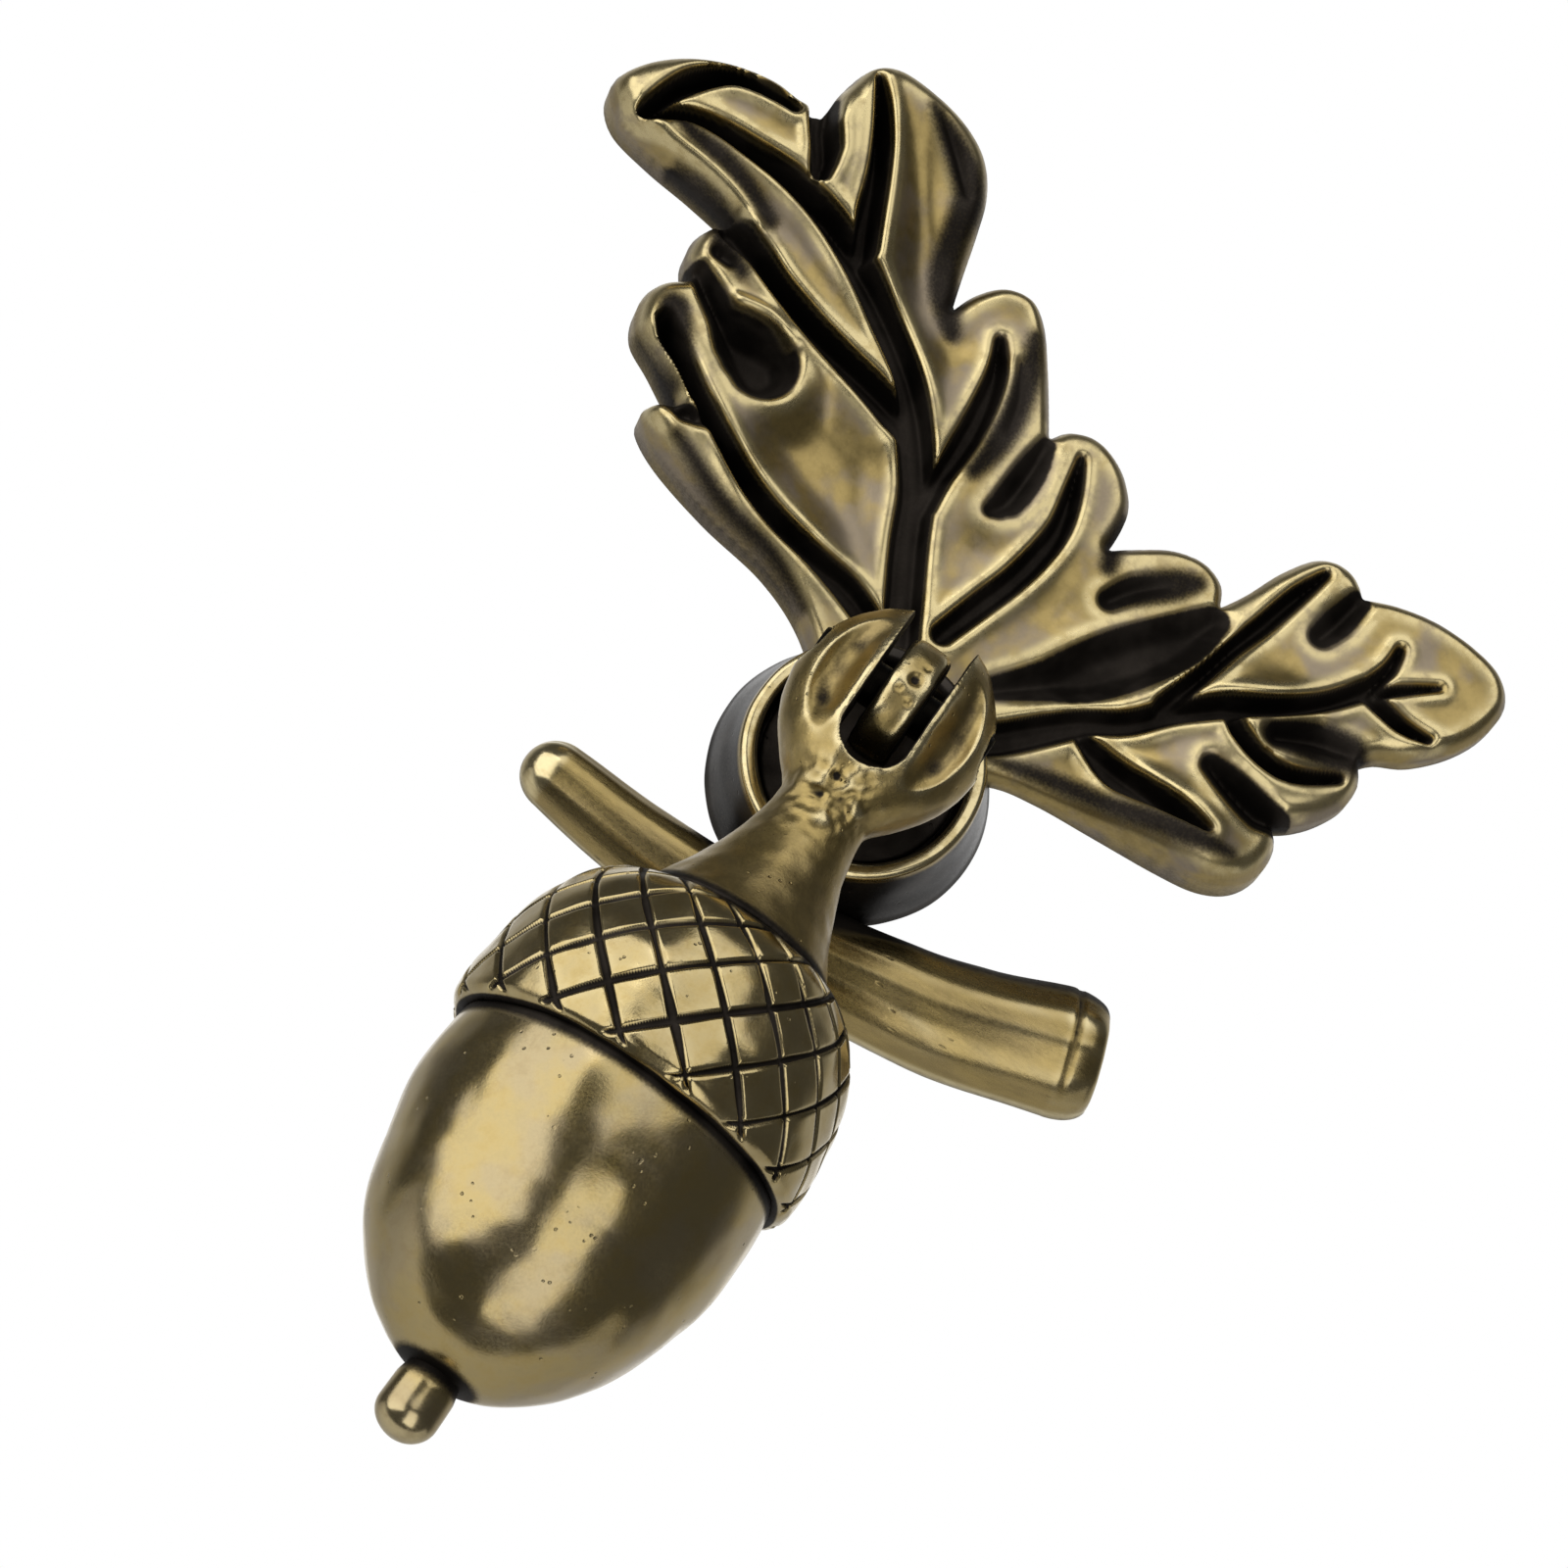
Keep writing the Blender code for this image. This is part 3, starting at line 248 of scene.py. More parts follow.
# Soft dark patches on the slopes and in hollows, painted shade along with patina: as the veins
SHADES = {
    "left_tip_inner": [(-27.2, 23.8, 0.25), (-25.6, 23.4, 0.45), (-24.0, 23.2, 0.55), (-22.0, 22.7, 0.55),
        (-20.0, 21.9, 0.45)],
    "left_tip_outer": [(-25.6, 21.9, 0.1), (-23.0, 21.7, 0.35), (-20.8, 21.2, 0.6)],
    "left_top_band": [(-16.4, 32.6, 0.2), (-15.3, 32.0, 0.55), (-13.4, 30.8, 0.8), (-12.1, 29.4, 0.8),
        (-11.7, 27.6, 0.7), (-11.2, 26.0, 0.7), (-10.2, 24.5, 0.7), (-8.9, 23.2, 0.4)],
    "left_side_band": [(-5.2, 25.6, 0.3), (-4.4, 23.8, 0.6), (-3.8, 21.2, 0.65), (-3.7, 19.0, 0.6),
        (-3.9, 17.5, 0.4)],
    "left_loop_inner": [(-19.6, 13.2, 0.4), (-20.6, 14.1, 0.65), (-21.4, 14.9, 0.75)],
    "left_loop_outer": [(-22.2, 12.9, 0.15), (-20.7, 12.1, 0.35), (-19.3, 11.4, 0.5)],
    "left_small_fold": [(-22.1, 20.0, 0.3), (-21.0, 19.4, 0.6), (-19.6, 18.7, 0.4)],
    "left_low_slope": [(-7.0, 5.9, 0.1), (-10.0, 7.2, 0.3), (-14.0, 8.0, 0.3), (-17.5, 9.2, 0.2)],
    "valley": [(4.0, 20.2, 0.2), (4.3, 18.7, 0.5), (4.7, 17.5, 0.4)],
    "right_small_hollow": [(6.0, 16.4, 0.5), (7.0, 17.7, 0.85), (8.2, 18.9, 0.8), (9.0, 19.6, 0.4)],
    "right_panel_hollow": [(16.6, 14.4, 0.6), (18.6, 15.5, 1.15), (20.5, 16.2, 1.0)],
    "right_low_slope": [(5.0, 4.9, 0.1), (8.5, 5.9, 0.45), (12.0, 6.3, 0.5), (15.5, 6.8, 0.55),
        (18.2, 7.4, 0.3)],
}

# Thin ridges where the metal folds over a hollow
FOLDS = {
    "left_pocket_fold": [(-18.9, 17.3, 0.0), (-17.2, 17.6, 0.0), (-15.4, 17.1, 0.0)],
    "left_tip_fold": [(-28.6, 22.9, 0.0), (-26.4, 22.6, 0.0), (-24.2, 22.4, 0.0), (-22.0, 21.9, 0.0),
        (-20.3, 21.1, 0.0)],
}

# Height of the ridges over the back: (X, Z, height)
CRESTS = [
    (-4.3, 9.5, 2.0), (-5.7, 17.0, 2.1), (-9.3, 18.3, 3.5), (-15.5, 24.3, 4.3), (-20.2, 27.0, 4.9),
    (-12.5, 31.0, 3.6), (-9.5, 24.8, 2.0), (-29.0, 22.6, 4.4), (-18.7, 17.0, 4.1), (-18.0, 11.3, 4.7),
    (-10.0, 7.6, 3.2), (-2.5, 18.0, 2.3), (1.5, 19.5, 2.1), (6.0, 6.5, 1.7), (9.0, 9.6, 1.9),
    (11.5, 13.4, 2.9), (15.0, 14.4, 4.0), (16.7, 7.7, 4.7), (20.3, 20.0, 2.4), (23.6, 20.4, 2.3),
    (10.7, 19.6, 1.4), (7.0, 19.2, 1.4), (21.3, 15.6, 2.0), (14.3, 23.0, 2.1), (19.0, 10.0, 2.9),
]

# Twig: the middle line from its rounded left end to its cut right end
TWIG_LINE = [(-12.5, -8.5), (-8.5, -8.9), (-3.0, -9.1), (3.0, -8.9), (8.5, -8.1), (12.5, -7.1), (16.6, -5.6)]
TWIG_LEFT_RADIUS = 1.95
TWIG_MIDDLE_RADIUS = 2.7
TWIG_RIGHT_RADIUS = 3.55
TWIG_CROWN = 1.05
TWIG_END_LENGTH = 2.1
TWIG_END_NARROWING = 0.28
TWIG_CREASE_PLACE = 0.35
TWIG_CREASE_WIDTH = 0.16
TWIG_CREASE_DEPTH = 0.10
TWIG_STREAKS = 0.035
TWIG_KNOTS = 0.03

# Colours of the aged brass: panels, worn edges, the leaves' worn edges, the black of patina and painted
# shade, and grey bloom
GOLD = (0.41, 0.305, 0.118, 1.0)
PALE = (0.71, 0.595, 0.335, 1.0)
LEAF_PALE = (0.67, 0.553, 0.290, 1.0)
PATINA_AND_SHADE = (0.021, 0.0175, 0.0145, 1.0)
MAUVE = (0.29, 0.245, 0.205, 1.0)
PIT_STAIN = 0.45

# Camera of the photograph: place, and its right, up and back directions
CAMERA_PLACE = Vector((0.0093, -0.4530, -0.1589))
CAMERA_RIGHT = Vector((0.8241, -0.1282, 0.5517))
CAMERA_UP = Vector((-0.5607, -0.3229, 0.7625))
CAMERA_BACK = Vector((0.0804, -0.9377, -0.3380))
CAMERA_LENS = 214.0

# Floor: its height, how far back its middle lies, and its side
FLOOR_HEIGHT = -0.3
FLOOR_BACK = 1.2
FLOOR_SIZE = 2.4

# Studio: level of the world's light; a round screen, open behind the object; its brightness there and
# before the object, and where one passes into the other, as the cosine of the angle from the camera
WORLD_LEVEL = 0.5
SCREEN_RADIUS = 1.2
SCREEN_OPENING = -0.93
BACKDROP_GLOW = 0.52
ROOM_GLOW = 0.085
BACKDROP_START = -0.75
BACKDROP_END = -0.27
BACKDROP_TILT = math.radians(14)

# Lamps: name, direction from the object in the camera's own axes, distance and size in metres,
# brightness as the metal mirrors it, and turn in degrees
LAMPS = [
    ("window", (-0.56, 0.60, 0.57), 0.5, (0.62, 0.74), 1.5, 0),
    ("strip", (0.10, -0.47, 0.88), 0.4, (0.24, 0.50), 1.3, -30),
    ("overhead", (0.50, 0.70, 0.55), 0.45, (0.38, 0.50), 1.1, 0),
]


def smooth(low, high, value):
    """0 at low, 1 at high, with a soft start and end; low may be the greater of the two."""
    t = np.clip((value - low) / (high - low), 0.0, 1.0)
    return t * t * (3.0 - 2.0 * t)


def curve_through(points, step):
    """Points about a step apart on a Catmull-Rom curve through the given ones."""
    knots = np.array([points[0]] + list(points) + [points[-1]], float)
    found = []
    for a, b, c, d in zip(knots, knots[1:], knots[2:], knots[3:]):
        pieces = max(1, round(float(np.linalg.norm((c - b)[:2])) / step))
        for j in range(pieces):
            t = j / pieces
            found.append(0.5 * (2 * b + (c - a) * t + (2 * a - 5 * b + 4 * c - d) * t**2
                                + (3 * b - a - 3 * c + d) * t**3))
    found.append(knots[-2])
    return np.array(found)


def foliage_outline():
    """Points round both leaves: smooth along each lobe, sharp in the valleys between them."""
    following = LOBES[1:] + LOBES[:1]
    return np.concatenate([curve_through(lobe + [after[0]], OUTLINE_STEP)[:-1]
                           for lobe, after in zip(LOBES, following)])


def segment_gap(points, starts, ends, widths=None):
    """Least distance from each point to the segments, less the half width where it is met."""
    nearest = np.full(len(points), 1e3)
    for start, end, width in zip(starts, ends, widths if widths is not None else [(0.0, 0.0)] * len(starts)):
        along = end - start
        share = np.clip(((points - start) @ along) / (along @ along), 0.0, 1.0)
        off = points - start - share[:, None] * along
        gap = np.hypot(off[:, 0], off[:, 1]) - (width[0] + share * (width[1] - width[0]))
        nearest = np.minimum(nearest, gap)
    return nearest


def channel_gap(points, channels):
    """How far each point lies outside the nearest channel; negative inside it."""
    nearest = np.full(len(points), 1e3)
    for channel in channels.values():
        line = curve_through(channel, VEIN_STEP)
        reach = 4.0 + line[:, 2].max()
        low, high = line[:, :2].min(axis=0) - reach, line[:, :2].max(axis=0) + reach
        near = ((points > low) & (points < high)).all(axis=1)
        widths = np.column_stack([line[:-1, 2], line[1:, 2]])
        gap = segment_gap(points[near], line[:-1, :2], line[1:, :2], widths)
        nearest[near] = np.minimum(nearest[near], gap)
    return nearest


def inside_outline(points, outline):
    inside = np.zeros(len(points), bool)
    x, y = points[:, 0], points[:, 1]
    for (ax, ay), (bx, by) in zip(outline, np.roll(outline, -1, axis=0)):
        if ay != by:
            inside ^= ((ay > y) != (by > y)) & (x < ax + (y - ay) * (bx - ax) / (by - ay))
    return inside


def crest_height(points):
    """Smooth surface near the heights of the ridges."""
    total = np.zeros(len(points))
    weight = np.zeros(len(points))
    for x, y, height in CRESTS:
        near = 1.0 / ((points[:, 0] - x) ** 2 + (points[:, 1] - y) ** 2 + CREST_REACH**2) ** 2
        total += near * height
        weight += near
    return total / weight


def blurred(field, radius):
    """The field blurred with a Gaussian of that radius in grid steps."""
    reach = int(3 * radius) + 1
    kernel = np.exp(-0.5 * (np.arange(-reach, reach + 1) / radius) ** 2)
    kernel /= kernel.sum()
    padded = np.pad(field, reach, mode="edge")
    rows = sum(w * padded[:, k:k + field.shape[1]] for k, w in enumerate(kernel))
    return sum(w * rows[k:k + field.shape[0]] for k, w in enumerate(kernel))


def leaf_fields():
    """Grids over the leaves: X, Z, signed distance inside, height, the wear there, and the black of patina
    and painted shade.
    """
    outline = foliage_outline()
    xs = np.arange(*LEAF_SPAN_X, GRID_STEP)
    zs = np.arange(*LEAF_SPAN_Z, GRID_STEP)
    plan = np.array([(x, z) for z in zs for x in xs])
    shape = (len(zs), len(xs))
    rim_gap = segment_gap(plan, outline, np.roll(outline, -1, axis=0))
    inside = np.where(inside_outline(plan, outline), rim_gap, -rim_gap)
    off_vein = channel_gap(plan, VEINS)
    off_hollow = channel_gap(plan, HOLLOWS)
    edge = np.minimum(off_vein, off_hollow)
    crest = crest_height(plan)
    round_to = RIM_LEAST + RIM_PER_HEIGHT * crest
    turn = np.clip(inside / round_to, 0.0, 1.0)
    rim = RIM_SHARE + (1.0 - RIM_SHARE) * np.sqrt(1.0 - (1.0 - turn) ** 2)
    sag = SAG_SHARE * crest * smooth(0.0, SAG_WIDTH, inside - round_to) * smooth(BEAD_WIDTH, SAG_REACH, edge)
    sag = blurred(sag.reshape(shape), SAG_BLUR).ravel()
    fold = np.exp(-((channel_gap(plan, FOLDS) / FOLD_WIDTH) ** 2))
    bead = VEIN_LIP * np.exp(-((off_vein - VEIN_LIP_PLACE) / VEIN_LIP_WIDTH) ** 2)
    height = crest * rim - sag + bead * smooth(0.1, 0.6, inside)
    bowl = HOLLOW_FLOOR_SHARE + (1.0 - HOLLOW_FLOOR_SHARE) * smooth(-HOLLOW_SIDE, HOLLOW_LIP, off_hollow)
    bowl = crest * bowl * np.minimum(rim + 0.25, 1.0)
    height = np.minimum(height, np.where(off_hollow < HOLLOW_LIP, bowl, 1e3))
    floor = VEIN_FLOOR_SHARE * crest * (1.0 + 0.25 * smooth(-0.2, -0.9, off_vein))
    height = height + (np.minimum(floor, height) - height) * smooth(0.05, -VEIN_WALL, off_vein)
    height = blurred((height + FOLD_HEIGHT * fold).reshape(shape), SKIN_BLUR)
    relief = height - blurred(height, RELIEF_BLUR)
    hollow = smooth(0.10, -0.25, off_hollow) * (1.0 - fold)
    deep = np.maximum(smooth(0.08, -0.10, off_vein), hollow).reshape(shape)
    lip = np.exp(-((edge - 0.42) / 0.34) ** 2) + 0.8 * np.exp(-((inside - round_to) / 0.4) ** 2) + fold
    wear = np.clip(lip.reshape(shape) * smooth(-0.15, 0.15, relief) + smooth(0.25, 0.6, relief), 0.0, 1.0)
    # Painted shade, together with patina, along the lines of SHADES; it also dims the worn edges under it
    shade = smooth(0.85, -0.45, channel_gap(plan, SHADES)) * (1.0 - fold)
    shade = SHADE_STRENGTH * shade.reshape(shape)
    wear *= 1.0 - 0.9 * shade
    patina_and_shade = np.clip(np.maximum(deep, shade) + smooth(-0.15, -0.7, relief) * 0.5, 0.0, 1.0)
    return xs, zs, inside.reshape(shape), height, wear * (1.0 - deep), patina_and_shade


def weather(obj, wear, patina_and_shade):
    """Stores how worn and how black each vertex is, the black being patina and painted shade, for the
    materials to read.
    """
    for name, values in (("wear", wear), ("patina_and_shade", patina_and_shade)):
        layer = obj.data.attributes.new(name, "FLOAT", "POINT")
        layer.data.foreach_set("value", np.asarray(values, np.float32))


def link(name, data):
    obj = bpy.data.objects.new(name, data)
    bpy.context.scene.collection.objects.link(obj)
    return obj


def mesh_object(name, points, faces):
    mesh = bpy.data.meshes.new(name)
    mesh.from_pydata([tuple(p) for p in points], [], [tuple(f) for f in faces])
    mesh.update()
    return link(name, mesh)


def soft_shading(obj, angle=50.0):
    obj.data.shade_smooth()
    obj.data.set_sharp_from_angle(angle=math.radians(angle))


def make_leaves():
    """One relief over the outline, cut by marching squares, with walls down to a flat back."""
    xs, zs, inside, height, wear, patina_and_shade = leaf_fields()
    across, up = np.meshgrid(xs, zs)
    edge = np.minimum(inside, np.hypot(across, up) - LEAF_CUT_RADIUS)
    width = len(xs)
    points, values, index = [], [], {}

    def vertex(key, a, b, t):
        if key not in index:
            index[key] = len(points)
            row = [g.flat[a] * (1 - t) + g.flat[b] * t for g in (across, up, height, wear, patina_and_shade)]
            points.append((row[0] * MM, -row[2] * MM, row[1] * MM))
            values.append(row[3:])
        return index[key]

    faces, rims = [], []
    kept = edge > 0
    corners = kept[:-1, :-1].astype(int) + kept[1:, :-1] + kept[:-1, 1:] + kept[1:, 1:]
    for j, i in zip(*np.nonzero(corners)):
        ring = [j * width + i, j * width + i + 1, (j + 1) * width + i + 1, (j + 1) * width + i]
        if corners[j, i] == 4:
            faces.append([vertex((c, c), c, c, 0.0) for c in ring])
            continue
        face, cut = [], []
        for a, b in zip(ring, ring[1:] + ring[:1]):
            ea, eb = edge.flat[a], edge.flat[b]
            if ea > 0:
                face.append(vertex((a, a), a, a, 0.0))
            if (ea > 0) != (eb > 0):
                low, high = min(a, b), max(a, b)
                t = edge.flat[low] / (edge.flat[low] - edge.flat[high])
                face.append(vertex((low, high), low, high, float(np.clip(t, 0.02, 0.98))))
                cut.append((len(face) - 1, ea > 0))
        faces.append(face)
        if len(cut) == 2:
            out, back = (cut[0], cut[1]) if cut[0][1] else (cut[1], cut[0])
            rims.append((face[out[0]], face[back[0]]))
    top = len(points)
    lower = {}
    back_plane = -0.02 * MM
    for a, b in rims:
        for v in (a, b):
            if v not in lower:
                lower[v] = top + len(lower)
    points += [(points[v][0], back_plane, points[v][2]) for v in lower]
    values += [(0.0, 0.5)] * len(lower)
    faces = [face[::-1] for face in faces]
    faces += [(a, b, lower[b], lower[a]) for a, b in rims]
    ahead = {lower[a]: lower[b] for a, b in rims}
    while ahead:
        start = next(iter(ahead))
        loop, at = [start], ahead.pop(start)
        while at != start and at in ahead:
            loop.append(at)
            at = ahead.pop(at)
        faces.append(loop)
    leaves = mesh_object("oak_leaves", points, faces)
    fix_normals(leaves)
    weather(leaves, *zip(*values))
    soft_shading(leaves, 60.0)
    return leaves


def fix_normals(obj):
    shape = bmesh.new()
    shape.from_mesh(obj.data)
    bmesh.ops.recalc_face_normals(shape, faces=shape.faces)
    shape.to_mesh(obj.data)
    shape.free()


def turned(name, profile, steps):
    """A closed solid of revolution about Z from (radius, height) points."""
    angles = np.linspace(0.0, 2.0 * math.pi, steps, endpoint=False)
    points, rings = [], []
    for r, h in profile:
        if r < 1e-6:
            rings.append([len(points)])
            points.append((0.0, 0.0, h * MM))
        else:
            rings.append(list(range(len(points), len(points) + steps)))
            points += [(r * math.cos(a) * MM, r * math.sin(a) * MM, h * MM) for a in angles]
    faces = []
    for upper, lower in zip(rings, rings[1:]):
        for k in range(steps):
            m = (k + 1) % steps
            if len(upper) == 1:
                faces.append((upper[0], lower[k], lower[m]))
            elif len(lower) == 1:
                faces.append((upper[k], lower[0], upper[m]))
            else:
                faces.append((upper[k], lower[k], lower[m], upper[m]))
    if len(rings[0]) > 1 and len(rings[-1]) > 1:
        for k in range(steps):
            m = (k + 1) % steps
            faces.append((rings[-1][k], rings[0][k], rings[0][m], rings[-1][m]))
    obj = mesh_object(name, points, faces)
    fix_normals(obj)
    return obj


def arc(centre, radius, start, stop, steps):
    angles = np.radians(np.linspace(start, stop, steps + 1))
    return [(centre[0] + radius * math.cos(a), centre[1] + radius * math.sin(a)) for a in angles]


def filled(profile, step):
    """The profile with points added so that none are further apart than the step."""
    found = []
    for (r, h), (s, k) in zip(profile, profile[1:]):
        pieces = max(1, math.ceil(math.hypot(s - r, k - h) / step))
        found += [(r + (s - r) * t / pieces, h + (k - h) * t / pieces) for t in range(pieces)]
    return found + [profile[-1]]


def neighbour_average(mesh, values, rounds):
    """The values at the vertices, averaged with their neighbours that many times."""
    edges = np.empty(len(mesh.edges) * 2, np.int64)
    mesh.edges.foreach_get("vertices", edges)
    a, b = edges[0::2], edges[1::2]
    count = len(mesh.vertices)
    degree = np.bincount(a, minlength=count) + np.bincount(b, minlength=count)
    for _ in range(rounds):
        values = np.column_stack([
            (np.bincount(a, v[b], count) + np.bincount(b, v[a], count) + v) / (degree + 1)
            for v in values.T])
    return values


def shape_of(obj):
    """Vertex places and normals as arrays, in millimetres."""
    mesh = obj.data
    places = np.empty(len(mesh.vertices) * 3)
    mesh.vertices.foreach_get("co", places)
    normals = np.empty(len(mesh.vertices) * 3)
    mesh.vertex_normals.foreach_get("vector", normals)
    return places.reshape(-1, 3) / MM, normals.reshape(-1, 3)


def reshape(obj, places):
    """Puts the vertices at the given places, in millimetres."""
    obj.data.vertices.foreach_set("co", (places * MM).ravel())
    obj.data.update()


def age(obj, rounds, reach, shadow=None):
    """Wears the raised edges and darkens the hollows with patina: the reach is the height in mm that counts
    as full.
    A shadow function adds painted shade to that.
    """
    places, normals = shape_of(obj)
    raised = ((places - neighbour_average(obj.data, places, rounds)) * normals).sum(axis=1)
    raised = neighbour_average(obj.data, raised[:, None], 2)[:, 0]
    dark = smooth(-0.15 * reach, -reach, raised)
    if shadow is not None:
        dark = np.clip(dark + shadow(places), 0.0, 1.0)
    weather(obj, smooth(0.15 * reach, reach, raised), dark)


def roughen(obj, scale, depth, seed, share=None):
    """Moves the vertices along their normals by smooth noise: scale per mm, depth in mm."""
    places, normals = shape_of(obj)
    offset = Vector((seed, 2.0 * seed, 3.0 * seed))
    push = np.array([noise.noise(Vector(p) * scale + offset) for p in places])
    if share is not None:
        push *= share(places)
    reshape(obj, places + normals * (push * depth)[:, None])


def applied(obj):
    """The evaluated mesh, with the modifiers gone."""
    bpy.context.view_layer.update()
    mesh = bpy.data.meshes.new_from_object(obj.evaluated_get(bpy.context.evaluated_depsgraph_get()))
    obj.modifiers.clear()
    obj.data = mesh
    return obj


def joined(target, tool, operation):
    """The target united with the tool, or cut by it; the tool goes."""
    boolean = target.modifiers.new("Join", "BOOLEAN")
    boolean.operation = operation
    boolean.solver = "EXACT"
    boolean.object = tool
    applied(target)
    bpy.data.objects.remove(tool, do_unlink=True)
    return target


def remeshed(obj, voxel, rounds):
    """An even skin over the shape, with softened edges."""
    remesh = obj.modifiers.new("Skin", "REMESH")
    remesh.mode = "VOXEL"
    remesh.voxel_size = voxel * MM
    soften = obj.modifiers.new("Soften", "SMOOTH")
    soften.iterations = rounds
    soften.factor = 0.5
    return applied(obj)


def box(low, high):
    bpy.ops.mesh.primitive_cube_add(size=1.0, location=[(a + b) / 2 * MM for a, b in zip(low, high)])
    obj = bpy.context.active_object
    obj.scale = [(b - a) * MM for a, b in zip(low, high)]
    return settled(obj)


def rod(radius, half_length, centre, axis):
    turn = {"X": (0.0, math.pi / 2, 0.0), "Y": (math.pi / 2, 0.0, 0.0)}[axis]
    bpy.ops.mesh.primitive_cylinder_add(vertices=64, radius=radius * MM, depth=2 * half_length * MM,
                                        location=[c * MM for c in centre], rotation=turn)
    return settled(bpy.context.active_object)


def settled(obj):
    """Moves the object's place, turn and scale into its mesh."""
    bpy.context.view_layer.update()
    obj.data.transform(obj.matrix_world)
    obj.matrix_world.identity()
    return obj


def stand_out(obj):
    """Turns a shape made on the back, with its height along Z, to stand out towards -Y."""
    obj.data.transform(Matrix.Rotation(math.pi / 2, 4, "X"))
    return obj


def hang(obj):
    """Moves a shape made about the pin to the pin's place."""
    obj.data.transform(Matrix.Translation((0.0, -PIN_HEIGHT * MM, PIN_RISE * MM)))
    return obj


def make_boss():
    """The drum with its rolled rim, recess and the hole for the shank. The top of the rim, which the
    fork's slot looks out on, is painted dark: a painted shadow of the fork."""
    top, round_out, round_in = BOSS_HEIGHT, BOSS_EDGE_ROUND, BOSS_INNER_ROUND
    recess = BOSS_RIM_RADIUS - BOSS_RIM_WIDTH
    floor = top - RECESS_DEPTH
    profile = [(SHANK_HOLE_RADIUS, 0.0), (SHANK_HOLE_RADIUS, floor)]
    profile += arc((recess - round_in, floor + round_in), round_in, 270, 360, 5)
    profile += arc((recess + round_in, top - round_in), round_in, 180, 90, 6)
    profile += arc((BOSS_RIM_RADIUS - round_out, top - round_out), round_out, 90, 0, 8)
    profile += [(BOSS_BASE_RADIUS - 0.15, 0.4), (BOSS_BASE_RADIUS, 0.0)]
    boss = turned("boss", filled(profile, 0.22), FINE_SIDES)
    roughen(boss, 0.5, 0.05, 4.0)
    places = shape_of(boss)[0]
    ring, below = np.hypot(places[:, 0], places[:, 1]), top - places[:, 2]
    side = smooth(0.25, 0.8, below) * smooth(BOSS_RIM_RADIUS - 0.6, BOSS_RIM_RADIUS - 0.2, ring)
    bowl = smooth(0.2, 0.9, below) * smooth(recess + 0.4, recess + 0.2, ring)
    # Painted shadow of the fork on the top of the rim under the slot, which also takes away the wear there
    turn = np.abs(np.degrees(np.arctan2(places[:, 0], places[:, 1])))
    painted_fork_shadow = smooth(48.0, 34.0, turn) * smooth(0.9, 0.5, below)
    weather(boss, smooth(0.3, 0.05, below) * (1.0 - painted_fork_shadow),
            np.maximum(np.maximum(0.85 * side, bowl), painted_fork_shadow))
    soft_shading(boss, 60.0)
    return stand_out(boss)


